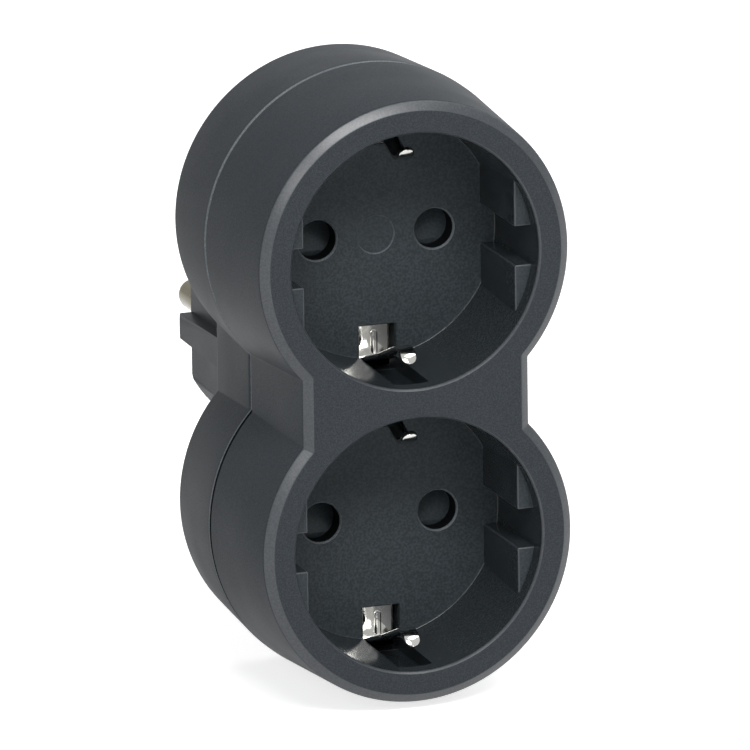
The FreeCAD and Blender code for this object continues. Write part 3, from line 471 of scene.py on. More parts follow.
def grain_group() -> Tree:
    """Spark-eroded grain of a moulded part, with slow unevenness under it.

    Returns:
        A group with the height of the surface and a mask that is 0 in its pits.
    """
    tree = shader_group("moulded_grain", {"Grain Scale": 5200.0, "Grain Share": 0.7, "Sink Scale": 110.0},
                        ("Height", "Pits"))
    nodes, links = tree.nodes, tree.links
    values, out = nodes.new("NodeGroupInput"), nodes.new("NodeGroupOutput")
    place = nodes.new("ShaderNodeTexCoord")
    fine, slow = nodes.new("ShaderNodeTexNoise"), nodes.new("ShaderNodeTexNoise")
    fine.inputs["Detail"].default_value = 2.5
    fine.inputs["Roughness"].default_value = 0.62
    slow.inputs["Detail"].default_value = 1.0
    for texture, scale in ((fine, "Grain Scale"), (slow, "Sink Scale")):
        links.new(place.outputs["Object"], texture.inputs["Vector"])
        links.new(values.outputs[scale], texture.inputs["Scale"])
    mix = nodes.new("ShaderNodeMix")
    links.new(values.outputs["Grain Share"], mix.inputs["Factor"])
    links.new(slow.outputs["Fac"], mix.inputs["A"])
    links.new(fine.outputs["Fac"], mix.inputs["B"])
    links.new(mix.outputs["Result"], out.inputs["Height"])
    mapped(tree, fine.outputs["Fac"], out.inputs["Pits"], From_Min=0.40, From_Max=0.62)
    return tree


def handling_group() -> Tree:
    """Soft patches and fine rubbed streaks that handling leaves.

    Returns:
        A group with a mask of patches and a mask of streaks.
    """
    tree = shader_group("handling", {"Patch Scale": 60.0, "Streak Scale": 900.0}, ("Patches", "Streaks"))
    nodes, links = tree.nodes, tree.links
    values, out = nodes.new("NodeGroupInput"), nodes.new("NodeGroupOutput")
    place = nodes.new("ShaderNodeTexCoord")
    patch, streak = nodes.new("ShaderNodeTexNoise"), nodes.new("ShaderNodeTexNoise")
    patch.inputs["Detail"].default_value = 3.0
    streak.inputs["Detail"].default_value = 4.0
    stretch = nodes.new("ShaderNodeMapping")
    stretch.inputs["Scale"].default_value = (1.0, 0.08, 1.0)
    links.new(place.outputs["Object"], patch.inputs["Vector"])
    links.new(place.outputs["Object"], stretch.inputs["Vector"])
    links.new(stretch.outputs["Vector"], streak.inputs["Vector"])
    links.new(values.outputs["Patch Scale"], patch.inputs["Scale"])
    links.new(values.outputs["Streak Scale"], streak.inputs["Scale"])
    mapped(tree, patch.outputs["Fac"], out.inputs["Patches"], From_Min=0.35, From_Max=0.65)
    mapped(tree, streak.outputs["Fac"], out.inputs["Streaks"], From_Min=0.42, From_Max=0.6)
    return tree


@dataclass
class ShaderGroups:
    """The node groups that the finishes share, built once."""

    grain: Tree = field(default_factory=grain_group)
    handling: Tree = field(default_factory=handling_group)


def linear(colour: Colour) -> tuple[float, float, float, float]:
    """A colour of 0 to 255 as scene-linear values with alpha.

    Args:
        colour: Red, green and blue, 0 to 255.

    Returns:
        The colour as a shader takes it.
    """
    parts = [value / 255 for value in colour]
    parts = [value / 12.92 if value <= 0.04045 else ((value + 0.055) / 1.055) ** 2.4 for value in parts]
    return (parts[0], parts[1], parts[2], 1.0)


def principled(name: str) -> tuple[bpy.types.Material, Tree, bpy.types.Node]:
    """Start a material, and give it with its tree and its shader.

    Args:
        name: The material's name.

    Returns:
        The material, its node tree and its Principled BSDF node.
    """
    made = bpy.data.materials.new(name)
    made.use_nodes = True
    return made, made.node_tree, made.node_tree.nodes["Principled BSDF"]


def shared_group(tree: Tree, group: Tree, **values: float) -> bpy.types.Node:
    """Put a shared group in a material.

    Args:
        tree: The material's tree.
        group: The group.
        values: The material's own inputs, their names with _ for a space.

    Returns:
        The group's node.
    """
    node = tree.nodes.new("ShaderNodeGroup")
    node.node_tree = group
    for name, value in values.items():
        node.inputs[name.replace("_", " ")].default_value = value
    return node


def blend_colours(tree: Tree, factor: Socket, low: Colour, high: Colour, target: Socket) -> None:
    """Feed a colour that a mask moves between two tones.

    Args:
        tree: The material's node tree.
        factor: The mask.
        low: Tone where the mask is 0, as 0 to 255.
        high: Tone where the mask is 1, as 0 to 255.
        target: The socket that takes it.
    """
    mix = tree.nodes.new("ShaderNodeMix")
    mix.data_type = "RGBA"
    colours = [socket for socket in mix.inputs if socket.type == "RGBA"]
    colours[0].default_value = linear(low)
    colours[1].default_value = linear(high)
    tree.links.new(factor, mix.inputs["Factor"])
    tree.links.new(next(socket for socket in mix.outputs if socket.type == "RGBA"), target)


def bump(tree: Tree, height: Socket, depth: float, strength: float, target: Socket) -> None:
    """Raise a surface by a height mask.

    Args:
        tree: The material's node tree.
        height: The height, 0 to 1.
        depth: Relief in millimetres.
        strength: How far it bends the normal.
        target: The shader's normal socket.
    """
    node = tree.nodes.new("ShaderNodeBump")
    node.inputs["Distance"].default_value = depth * MM
    node.inputs["Strength"].default_value = strength
    tree.links.new(height, node.inputs["Height"])
    tree.links.new(node.outputs["Normal"], target)


@dataclass(frozen=True)
class Plastic:
    """A moulded plastic finish, dark in the grain's pits and light on its peaks."""

    name: str
    dark: Colour
    light: Colour
    smooth_at: float
    rough_at: float
    specular: float
    grain_scale: float
    grain_depth: float
    grain_strength: float

    def material(self, groups: ShaderGroups) -> bpy.types.Material:
        """Build the material.

        Args:
            groups: The shared shader groups.

        Returns:
            The material.
        """
        made, tree, shader = principled(self.name)
        shader.inputs["Specular IOR Level"].default_value = self.specular
        grain = shared_group(tree, groups.grain, Grain_Scale=self.grain_scale)
        handling = shared_group(tree, groups.handling)
        blend_colours(tree, grain.outputs["Pits"], self.dark, self.light, shader.inputs["Base Color"])
        mapped(tree, handling.outputs["Patches"], shader.inputs["Roughness"],
               To_Min=self.smooth_at, To_Max=self.rough_at)
        bump(tree, grain.outputs["Height"], self.grain_depth, self.grain_strength, shader.inputs["Normal"])
        return made


@dataclass(frozen=True)
class Metal:
    """A plated or bare metal finish with fine drawn streaks."""

    name: str
    tone: Colour
    stain: Colour
    smooth_at: float
    rough_at: float
    streak_scale: float = 900.0
    relief: float = 0.004
    relief_strength: float = 0.35

    def material(self, groups: ShaderGroups) -> bpy.types.Material:
        """Build the material.

        Args:
            groups: The shared shader groups.

        Returns:
            The material.
        """
        made, tree, shader = principled(self.name)
        shader.inputs["Metallic"].default_value = 1.0
        handling = shared_group(tree, groups.handling, Streak_Scale=self.streak_scale)
        streaks = handling.outputs["Streaks"]
        blend_colours(tree, handling.outputs["Patches"], self.tone, self.stain, shader.inputs["Base Color"])
        mapped(tree, streaks, shader.inputs["Roughness"], To_Min=self.smooth_at, To_Max=self.rough_at)
        bump(tree, streaks, self.relief, self.relief_strength, shader.inputs["Normal"])
        return made


class FinishName(Enum):
    """The finishes of the adapter's pieces."""

    SHELL = Plastic("shell_plastic", (51, 55, 59), (63, 67, 71), 0.42, 0.52, 0.05, 4200.0, 0.02, 0.26)
    # Darker than the shell as painted shade in the wells; the lower roughness is the walls' real gloss.
    WELL = Plastic("well_plastic", (38, 43, 46), (48, 53, 56), 0.14, 0.22, 0.36, 2600.0, 0.004, 0.05)
    EDGE = Plastic("edge_plastic", (49, 53, 57), (61, 65, 70), 0.30, 0.38, 0.52, 3200.0, 0.02, 0.30)
    # A little darker than the shell as painted shade on the well floors and the ribs' fronts.
    FLOOR = Plastic("floor_plastic", (45, 51, 54), (58, 64, 68), 0.38, 0.50, 0.14, 2600.0, 0.02, 0.34)
    # Light tone is a painted highlight on the hole and disc rims and the rear seam line.
    RIM = Plastic("rubbed_rim", (78, 84, 88), (106, 112, 116), 0.30, 0.42, 0.40, 5200.0, 0.02, 0.28)
    # Light tone is a painted sheen on the rounded rear edge of the neck at the seam.
    SOFT = Plastic("soft_edge", (62, 66, 70), (76, 80, 84), 0.42, 0.52, 0.10, 4200.0, 0.02, 0.26)
    # Near-black tone is painted shade in the pin bores and the open seam's gap.
    DEEP = Plastic("deep_plastic", (12, 14, 15), (18, 20, 22), 0.70, 0.80, 0.05, 3000.0, 0.01, 0.10)
    SHUTTER = Plastic("shutter_plastic", (48, 55, 59), (58, 65, 69), 0.34, 0.44, 0.18, 3000.0, 0.01, 0.15)
    COVER = Plastic("cover_plastic", (50, 50, 53), (58, 58, 61), 0.40, 0.50, 0.25, 3000.0, 0.01, 0.15)
    NICKEL = Metal("nickel_plate", (112, 106, 84), (88, 82, 62), 0.14, 0.24)
    CLIP = Metal("bright_strip", (208, 208, 205), (186, 185, 181), 0.06, 0.13)
    BRASS = Metal("brass_strip", (198, 160, 92), (176, 138, 78), 0.22, 0.34)
    SPRING = Metal("spring_steel", (168, 168, 172), (140, 140, 146), 0.20, 0.32)
    SCREW = Metal("zinc_screw", (176, 178, 182), (150, 152, 158), 0.26, 0.40)


class Finishes:
    """Every finish as a material, each built once."""

    def __init__(self) -> None:
        """Build the shared groups and then the materials."""
        groups = ShaderGroups()
        self.made = {name: name.value.material(groups) for name in FinishName}

    def dress(self, item: Piece, *names: FinishName) -> None:
        """Replace an object's materials by finishes.

        Args:
            item: The object.
            names: One finish for each material slot.
        """
        item.data.materials.clear()
        for name in names:
            item.data.materials.append(self.made[name])

    def dress_node(self, node: str, name: FinishName) -> None:
        """Give a CAD node a finish."""
        self.dress(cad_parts[node], name)


# Geometry trees


@dataclass
class GeometryTree:
    """A Geometry Nodes tree under construction, with named inputs."""

    name: str
    tree: Tree = field(init=False)
    source: bpy.types.Node = field(init=False)
    identifiers: dict[str, str] = field(init=False, default_factory=dict)

    def __post_init__(self) -> None:
        """Make the tree with its geometry in and out."""
        self.tree = bpy.data.node_groups.new(self.name, "GeometryNodeTree")
        for way in ("INPUT", "OUTPUT"):
            self.tree.interface.new_socket(name="Geometry", in_out=way, socket_type="NodeSocketGeometry")
        self.source = self.tree.nodes.new("NodeGroupInput")

    def input(self, name: str, kind: str = "NodeSocketFloat") -> Socket:
        """Add a named input.

        Args:
            name: The input's name.
            kind: Its socket type.

        Returns:
            The socket inside the tree.
        """
        socket = self.tree.interface.new_socket(name=name, in_out="INPUT", socket_type=kind)
        self.identifiers[name] = socket.identifier
        return self.source.outputs[name]

    def feed(self, target: Socket, value: Feed) -> None:
        """Link a socket to an input, or set the input to a value.

        Args:
            target: The input.
            value: The socket or the value.
        """
        if isinstance(value, bpy.types.NodeSocket):
            self.tree.links.new(value, target)
        else:
            target.default_value = value

    def node(self, kind: str, operation: str | None = None, **feeds: Feed) -> bpy.types.Node:
        """Add a node and feed its inputs.

        Args:
            kind: The node's type name.
            operation: The node's operation, where it has one.
            feeds: A socket or a value for each input, its name with _ for a space.

        Returns:
            The node.
        """
        made = self.tree.nodes.new(kind)
        if operation:
            made.operation = operation
        for name, value in feeds.items():
            self.feed(made.inputs[name.replace("_", " ")], value)
        return made

    def computed(self, operation: str, first: Socket, second: Socket | float) -> Socket:
        """Combine two numbers, such as by ADD.

        Args:
            operation: What is done with them.
            first: The first number.
            second: The second number.

        Returns:
            The result's socket.
        """
        made = self.node("ShaderNodeMath", operation)
        self.feed(made.inputs[0], first)
        self.feed(made.inputs[1], second)
        return made.outputs[0]

    def scaled(self, value: Socket, factor: float) -> Socket:
        """Multiply a value by a number."""
        return self.computed("MULTIPLY", value, factor)

    def raised(self, geometry: Socket, height: Socket) -> Socket:
        """Move geometry along Z."""
        shift = self.node("ShaderNodeCombineXYZ", Z=height).outputs["Vector"]
        return self.node("GeometryNodeTransform", Geometry=geometry, Translation=shift).outputs["Geometry"]

    def cylinder(self, flats: int, radius: Socket, depth: Socket) -> Socket:
        """A cylinder about Z with its middle at the origin."""
        made = self.node("GeometryNodeMeshCylinder", Vertices=flats, Radius=radius, Depth=depth)
        return made.outputs["Mesh"]

    def cone(self, flats: int, bottom: Socket, top: Socket, depth: Socket) -> Socket:
        """A blunt cone that rises from the origin."""
        sizes = {"Vertices": flats, "Radius_Bottom": bottom, "Radius_Top": top, "Depth": depth}
        return self.node("GeometryNodeMeshCone", **sizes).outputs["Mesh"]

    def merged(self, parts: Sequence[Socket]) -> Socket:
        """Join several geometries into one.

        Args:
            parts: The geometries.

        Returns:
            The joined geometry.
        """
        node = self.tree.nodes.new("GeometryNodeJoinGeometry")
        for part in parts:
            self.tree.links.new(part, node.inputs["Geometry"])
        return node.outputs["Geometry"]

    def finish(self, geometry: Socket) -> None:
        """End the tree in realized instances with the chosen material.

        Args:
            geometry: What the tree has made.
        """
        material = self.input("Finish", "NodeSocketMaterial")
        real = self.node("GeometryNodeRealizeInstances", Geometry=geometry).outputs["Geometry"]
        dressed = self.node("GeometryNodeSetMaterial", Geometry=real, Material=material)
        out = self.tree.nodes.new("NodeGroupOutput")
        self.tree.links.new(dressed.outputs["Geometry"], out.inputs["Geometry"])

    def grow(self, item: Piece, values: dict[str, object]) -> None:
        """Run the tree on an object and keep the result as its mesh.

        Args:
            item: The object whose mesh goes in.
            values: A value for each named input.
        """
        modifier = item.modifiers.new(self.name, "NODES")
        modifier.node_group = self.tree
        for name, value in values.items():
            modifier[self.identifiers[name]] = value
        applied(item)


def spring_tree() -> GeometryTree:
    """A round-wire coil that rises from its foot.

    Returns:
        The tree, with its wire, coil and turns as inputs.
    """
    made = GeometryTree("coil_spring")
    wire, radius = made.input("Wire Radius"), made.input("Coil Radius")
    length, turns = made.input("Length"), made.input("Turns")
    foot = made.input("Foot", "NodeSocketVector")
    coil = made.node("GeometryNodeCurveSpiral", Resolution=20, Rotations=turns, Start_Radius=radius,
                     End_Radius=radius, Height=length)
    section = made.node("GeometryNodeCurvePrimitiveCircle", Resolution=8, Radius=wire)
    tube = made.node("GeometryNodeCurveToMesh", Curve=coil.outputs["Curve"],
                     Profile_Curve=section.outputs["Curve"], Fill_Caps=True)
    placed = made.node("GeometryNodeTransform", Geometry=tube.outputs["Mesh"], Translation=foot)
    made.finish(placed.outputs["Geometry"])
    return made


def rivet_tree() -> GeometryTree:
    """Rivets at the points of a mesh, each a shank with two domed heads.

    Returns:
        The tree, with the rivet's sizes and turn as inputs.
    """
    shank_flats, head_flats, dome_share = 24, 32, 0.62
    made = GeometryTree("closed_rivets")
    points = made.source.outputs["Geometry"]
    shank, grip = made.input("Shank Radius"), made.input("Grip")
    head, rise = made.input("Head Radius"), made.input("Head Height")
    turn = made.input("Turn", "NodeSocketVector")
    half_grip, half_rise = made.scaled(grip, 0.5), made.scaled(rise, 0.5)
    body = made.cylinder(shank_flats, shank, grip)
    disc = made.raised(made.cylinder(head_flats, head, half_rise),
                       made.computed("ADD", half_grip, made.scaled(rise, 0.25)))
    dome = made.raised(made.cone(head_flats, head, made.scaled(head, dome_share), half_rise),
                       made.computed("ADD", half_grip, half_rise))
    closed = made.merged([disc, dome])
    other = made.node("GeometryNodeTransform", Geometry=closed, Rotation=(math.pi, 0.0, 0.0))
    rivet = made.merged([body, closed, other.outputs["Geometry"]])
    placed = made.node("GeometryNodeInstanceOnPoints", Points=points, Instance=rivet, Rotation=turn)
    made.finish(placed.outputs["Instances"])
    return made


def screw_tree() -> GeometryTree:
    """Pan head screws at the points of a mesh, seated there, their heads towards +Y.

    Returns:
        The tree, with the screw's sizes as inputs.
    """
    shank_flats, head_flats, rim_share, crown_share = 32, 48, 0.6, 0.8
    made = GeometryTree("pan_screws")
    points = made.source.outputs["Geometry"]
    shank, length = made.input("Shank Radius"), made.input("Shank Length")
    head, rise = made.input("Head Radius"), made.input("Head Height")
    slot = made.input("Slot Width")
    body = made.raised(made.cylinder(shank_flats, shank, length), made.scaled(length, -0.5))
    rim = made.raised(made.cylinder(head_flats, head, made.scaled(rise, rim_share)),
                      made.scaled(rise, rim_share / 2))
    crown = made.cone(head_flats, head, made.scaled(head, crown_share), made.scaled(rise, 1.0 - rim_share))
    pan = made.merged([rim, made.raised(crown, made.scaled(rise, rim_share))])
    size = made.node("ShaderNodeCombineXYZ", X=made.scaled(head, 3.0), Y=slot, Z=rise).outputs["Vector"]
    groove = made.raised(made.node("GeometryNodeMeshCube", Size=size).outputs["Mesh"], rise)
    cut = made.node("GeometryNodeMeshBoolean", "DIFFERENCE", Mesh_1=pan, Mesh_2=groove)
    screw = made.merged([body, cut.outputs["Mesh"]])
    placed = made.node("GeometryNodeInstanceOnPoints", Points=points, Instance=screw,
                       Rotation=(-math.pi / 2, 0.0, 0.0))
    made.finish(placed.outputs["Instances"])
    return made


def rib_tree() -> GeometryTree:
    """Four mirrored ribs from one, repeated in both wells.

    Returns:
        The tree, with the pitch of the wells as its input.
    """
    made = GeometryTree("guide_ribs")
    pitch = made.input("Pitch")
    ribs = made.source.outputs["Geometry"]
    for scale in ((-1.0, 1.0, 1.0), (1.0, 1.0, -1.0)):
        turned = made.node("GeometryNodeTransform", Geometry=ribs, Scale=scale).outputs["Geometry"]
        flipped = made.node("GeometryNodeFlipFaces", Mesh=turned).outputs["Mesh"]
        ribs = made.merged([ribs, flipped])
    wells = [made.raised(ribs, made.scaled(pitch, share)) for share in (0.5, -0.5)]
    made.finish(made.merged(wells))
    return made


# Housing


@dataclass
class Assembly:
    """A sub-assembly, with the layout and the finishes that all of them share."""

    layout: Layout
    finishes: Finishes

    def hand_over(self, item: Piece, node: str, slot: str, angle: float = 30.0) -> None:
        """Smooth a dressed piece and let it stand for its CAD node on the adapter's body.

        Args:
            item: The finished piece.
            node: The CAD node that it replaces.
            slot: The record's material slot, not used.
            angle: Edges sharper than this stay sharp, in degrees.
        """
        item.data.shade_smooth()
        item.data.set_sharp_from_angle(angle=math.radians(angle))
        item.data.name = item.name
        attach(item, "adapter")
        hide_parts(node)
        log.info("%s: %d faces", item.name, len(item.data.polygons))


def figure_eight_loop(layout: Layout, y: float, radius: float, neck: float) -> Loop:
    """Outline of two rings joined by a straight neck with a small fillet, at one depth.

    Args:
        layout: Places of the wells.
        y: Depth.
        radius: Radius of both rings.
        neck: Half width of the neck.

    Returns:
        The outline; points of equal number always lie on the same feature.
    """
    half, side = layout.pitch / 2, neck + NECK_FILLET
    reach = math.sqrt((radius + NECK_FILLET) ** 2 - side ** 2)
    corner = math.atan2(reach, side)
    quarter = []
    for step in range(FILLET_FLATS):
        angle = corner * step / FILLET_FLATS
        quarter.append((side - NECK_FILLET * math.cos(angle), half - reach + NECK_FILLET * math.sin(angle)))
    top = []
    for step in range(RING_ARC + 1):
        angle = -corner + (math.pi + 2 * corner) * step / RING_ARC
        top.append((radius * math.cos(angle), half + radius * math.sin(angle)))
    upper = quarter + top + [(-x, z) for x, z in reversed(quarter)]
    return [Vector((x, y, z)) for x, z in upper + [(-x, -z) for x, z in upper]]


def figure_eight(name: str, layout: Layout, stations: Sequence[Point]) -> Piece:
    """Loft figure-eight outlines, each given by its depth, ring radius and neck half width."""
    return loft(name, [figure_eight_loop(layout, *station) for station in stations])


def inside(layout: Layout, start: Point, end: Point) -> Piece:
    """The room between two stations, one side wall inside their outlines.

    Args:
        layout: Places of the wells.
        start: Depth, ring radius and neck half width of the first outline.
        end: The same of the last outline.

    Returns:
        The room as a solid.
    """
    wall = layout.side_wall
    return figure_eight("hollow", layout, [(y, ring_size - wall, neck - wall)
                                           for y, ring_size, neck in (start, end)])


@dataclass
class FrontShell(Assembly):
    """The front shell with its two wells."""

    face: Point = (23.5, 16.9)
    edge: Point = (25.0, 18.3)
    chamfer: float = 1.0
    edge_rounding: float = 0.32
    seam_rounding: float = 0.06
    inset: float = 1.5
    groove: float = 0.25
    seam_gap: float = 0.5
    seam_reach: Point = (0.6, 0.15)
    front_wall: float = 2.0
    mouth: float = 20.0
    mouth_edge: float = 0.35
    mouth_flare: float = 1.2
    mouth_band: float = 0.5
    well_floor: float = 19.5
    well_ledge: float = 1.0
    well_rounding: Point = (0.12, 0.2, 0.25)
    cup_wall: float = 2.4
    hole: float = 3.1
    hole_edge: float = 0.28
    hole_lead: float = 0.6
    hole_rounding: Point = (0.1, 0.12)
    hole_flats: int = 96
    disc: float = 3.1
    disc_sink: float = 0.24
    disc_lean: float = 0.16
    window: Point = (3.0, 14.3, 21.5)
    window_edge: float = 0.3
    pocket_depth: float = 1.1
    pocket_inner: float = 12.7
    slot: Point = (2.8, 14.3, 21.5)
    slot_recess: float = 2.7
    rib_flat: float = 17.05
    rib_gap: float = 6.1
    rib_recess: float = 2.9
    rib_sink: float = 0.5
    rib_steps: int = 12
    rib_edge: float = 0.22
    rib_band: float = 0.3
    rib_line: float = 0.25
    boss: float = 3.0
    boss_bore: float = 1.425
    boss_flats: int = 48

    def skin(self) -> Piece:
        """The outer form, from the flat face to the seam.

        Returns:
            The shell's form as a solid.
        """
        layout, rim = self.layout, self.layout.rim
        path = [
            (layout.front, self.face[0] - self.inset, self.face[1] - self.inset),
            (layout.front, *self.face),
            (layout.front + self.chamfer, *self.edge),
            (layout.seam - self.groove, *rim),
            (layout.seam, rim[0] - self.groove, rim[1] - self.groove),
        ]
        path = rounded(path, {1: self.edge_rounding, 2: self.edge_rounding, 3: self.seam_rounding}, 5)
        return figure_eight("front_shell", layout, path)

    def cup(self, level: Level) -> Piece:
        """A well's wall and floor as one solid.

        Args:
            level: The well.

        Returns:
            The solid.
        """
        radius, layout = self.mouth + self.cup_wall, self.layout
        profile = [(layout.front + self.chamfer, radius), (layout.floor_back, radius)]
        return revolve("cup", profile, (0.0, layout.height(level)))

    def well(self, level: Level) -> Piece:
        """The room inside a well, with its rounded mouth.

        Args:
            level: The well.

        Returns:
            The cutter.
        """
        front, floor, edge = self.layout.front, self.layout.floor, self.mouth_edge
        profile = [
            (front - MARGIN, self.mouth + edge + self.mouth_flare),
            (front, self.mouth + edge),
            (front + edge, self.mouth),
            (floor, self.well_floor),
            (floor, self.well_floor - self.well_ledge),
        ]
        profile = rounded(profile, dict(enumerate(self.well_rounding, start=1)))
        return revolve("well", profile, (0.0, self.layout.height(level)))

    def hole_cutter(self, hand: Hand, level: Level) -> Piece:
        """A pin hole with a chamfered mouth.

        Args:
            hand: The hole's side.
            level: The well.

        Returns:
            The cutter.
        """
        layout, lead, edge = self.layout, self.hole_lead, self.hole_edge
        profile = [
            (layout.floor - lead, self.hole + edge + lead),
            (layout.floor, self.hole + edge),
            (layout.floor + edge, self.hole),
            (layout.floor_back + MARGIN, self.hole),
        ]
        profile = rounded(profile, dict(enumerate(self.hole_rounding, start=1)), 3)
        place = (layout.pin_side * hand.value, layout.height(level))
        return revolve("hole", profile, place, self.hole_flats)

    def disc_cutter(self) -> Piece:
        """The shallow round sink in the upper well's floor.

        Returns:
            The cutter.
        """
        floor, centre = self.layout.floor, (0.0, self.layout.height(Level.UPPER))
        profile = [(floor - self.disc_sink, self.disc + self.disc_lean),
                   (floor + self.disc_sink, self.disc - self.disc_lean)]
        return revolve("disc", profile, centre, self.hole_flats)

    def window_cutter(self, level: Level, side: int) -> Piece:
        """A floor window with a small chamfer round its rim.

        Args:
            level: The well.
            side: 1 above the well's axis, -1 below it.

        Returns:
            The cutter.
        """
        low, high = span(self.layout.height(level), side, *self.window[1:])
        start, end = self.layout.floor - self.window_edge / 2, self.layout.floor_back + MARGIN
        return block("window", (-self.window[0], start, low), (self.window[0], end, high), self.window_edge)

    def pocket_cutter(self, level: Level, side: int) -> Piece:
        """The room behind the floor for a bracket's leg.

        Args:
            level: The well.
            side: 1 above the well's axis, -1 below it.

        Returns:
            The cutter.
        """
        low, high = span(self.layout.height(level), side, self.pocket_inner, self.window[2])
        start, end = self.layout.floor + self.pocket_depth, self.layout.floor_back + MARGIN
        return block("pocket", (-self.window[0], start, low), (self.window[0], end, high))

    def slot_cutter(self, level: Level, side: int) -> Piece:
        """The slot in the well's wall behind an earth clip.

        Args:
            level: The well.
            side: 1 above the well's axis, -1 below it.

        Returns:
            The cutter.
        """
        low, high = span(self.layout.height(level), side, *self.slot[1:])
        start, end = self.layout.front + self.slot_recess, self.layout.floor
        return block("slot", (-self.slot[0], start, low), (self.slot[0], end, high))

    def rib(self) -> Piece:
        """One guide rib, right and above the axis of a well at the origin.

        Returns:
            The rib, its root sunk into the well's wall.
        """
        root = self.mouth + self.cup_wall / 2
        near = self.rib_gap / 2
        start, end = math.asin(near / root), math.acos(self.rib_flat / root)
        outline = [(self.rib_flat, near)]
        for step in range(self.rib_steps + 1):
            angle = start + (end - start) * step / self.rib_steps
            outline.append((root * math.cos(angle), root * math.sin(angle)))
        ends = (self.layout.front + self.rib_recess, self.layout.floor + self.rib_sink)
        made = loft("rib", [[Vector((x, y, z)) for x, z in outline] for y in ends])
        bevelled(made, self.rib_edge, segments=3, angle=60.0)
        return made

    def ribs(self) -> Piece:
        """All eight guide ribs.

        Returns:
            The ribs as one object.
        """
        made = self.rib()
        rib_tree().grow(made, {"Pitch": self.layout.pitch * MM})
        return made

    def open_seam(self) -> Piece:
        """The gap that stands open round the lower ring.

        Returns:
            The cutter.
        """
        seam, rim = self.layout.seam, self.layout.rim[0]
        depths = (seam - self.seam_gap, seam + FINE_MARGIN)
        radii = (rim - self.seam_reach[0], rim + self.seam_reach[1])
        return ring("open_seam", depths, radii, (0.0, self.layout.height(Level.LOWER)))

    def build(self) -> None:
        """Make the shell and hand it over."""
        layout = self.layout
        back, split, bosses = layout.floor_back, layout.boss_split, layout.bosses()
        cuts = [(level, side) for level in Level for side in (1, -1)]
        shell = self.skin()
        combine(shell, [inside(layout, (layout.front + self.front_wall, *self.edge),
                               (layout.seam + MARGIN, *layout.rim))], Cut.REMOVE)
        for level in Level:
            combine(shell, [self.cup(level)], Cut.ADD)
        combine(shell, [self.well(level) for level in Level], Cut.REMOVE)
        combine(shell, [self.ribs()], Cut.ADD)
        cutters = [self.hole_cutter(hand, level) for hand in Hand for level in Level]
        cutters += [self.window_cutter(*cut) for cut in cuts]
        combine(shell, cutters + [self.disc_cutter()], Cut.REMOVE)
        cutters = [self.pocket_cutter(*cut) for cut in cuts] + [self.slot_cutter(*cut) for cut in cuts]
        combine(shell, cutters, Cut.REMOVE)
        combine(shell, posts(bosses, self.boss, back - OVERLAP, split, self.boss_flats), Cut.ADD)
        combine(shell, posts(bosses, self.boss_bore, back, split + MARGIN, self.boss_flats), Cut.REMOVE)
        combine(shell, [self.open_seam()], Cut.REMOVE)
        self.finishes.dress(shell, FinishName.SHELL, FinishName.WELL, FinishName.EDGE, FinishName.FLOOR,
                            FinishName.RIM, FinishName.DEEP)
        mark_faces(shell, self.face_kind)
        self.hand_over(shell, "front_housing", "dark_plastic")

    def face_kind(self, spot: Vector, normal: Vector) -> ShellFace:
        """Tell which finish a face of the shell takes.

        Args:
            spot: The middle of the face, in millimetres.
            normal: Its direction.

        Returns:
            The kind of face.
        """
        layout = self.layout
        x, y, z = spot
        rise = abs(abs(z) - layout.pitch / 2)
        reach, facing = math.hypot(x, rise), abs(normal.y)
        sloping = TILT[0] < facing < TILT[1]
        slotted = abs(x) < self.slot[0] + NEAR and self.slot[1] < rise < self.slot[2] + NEAR
        if y > layout.floor_back - ON_PLANE:
            return ShellFace.OUTSIDE
        if reach > self.mouth + NEAR:
            # Slot walls take the well finish's painted shade.
            if slotted and y > layout.front + self.slot_recess - NEAR:
                return ShellFace.WALL
            on_edge = y < layout.front + self.chamfer + NEAR and CHAMFER_TILT[0] < facing < CHAMFER_TILT[1]
            return ShellFace.EDGE if on_edge else ShellFace.OUTSIDE
        if y < layout.front + self.mouth_band:
            return ShellFace.EDGE if sloping else ShellFace.OUTSIDE
        if y < layout.floor - ON_PLANE:
            rib_start = layout.front + self.rib_recess
            # Rib fronts take the floor finish's painted shade, other walls the well finish's.
            if y < rib_start + 2 * ON_PLANE and normal.y < -TILT[1]:
                return ShellFace.FLOOR
            at_end = sloping and y < rib_start + self.rib_band
            on_line = max(abs(abs(x) - self.rib_flat), abs(rise - self.rib_gap / 2)) < self.rib_line
            return ShellFace.EDGE if at_end or on_line else ShellFace.WALL
        from_hole = math.hypot(abs(x) - layout.pin_side, rise)
        rim = min(abs(from_hole - self.hole - self.hole_edge / 2), abs(reach - self.disc))
        # Hole and disc rims take a painted highlight.
        if sloping and rim < self.hole_edge:
            return ShellFace.RIM
        # Pin bores take painted shade.
        if from_hole < self.hole + NEAR / 2 and not sloping:
            return ShellFace.BORE
        # Floors take the floor finish and walls the well finish, both darker as painted shade.
        return ShellFace.FLOOR if facing > FLAT_FROM else ShellFace.WALL


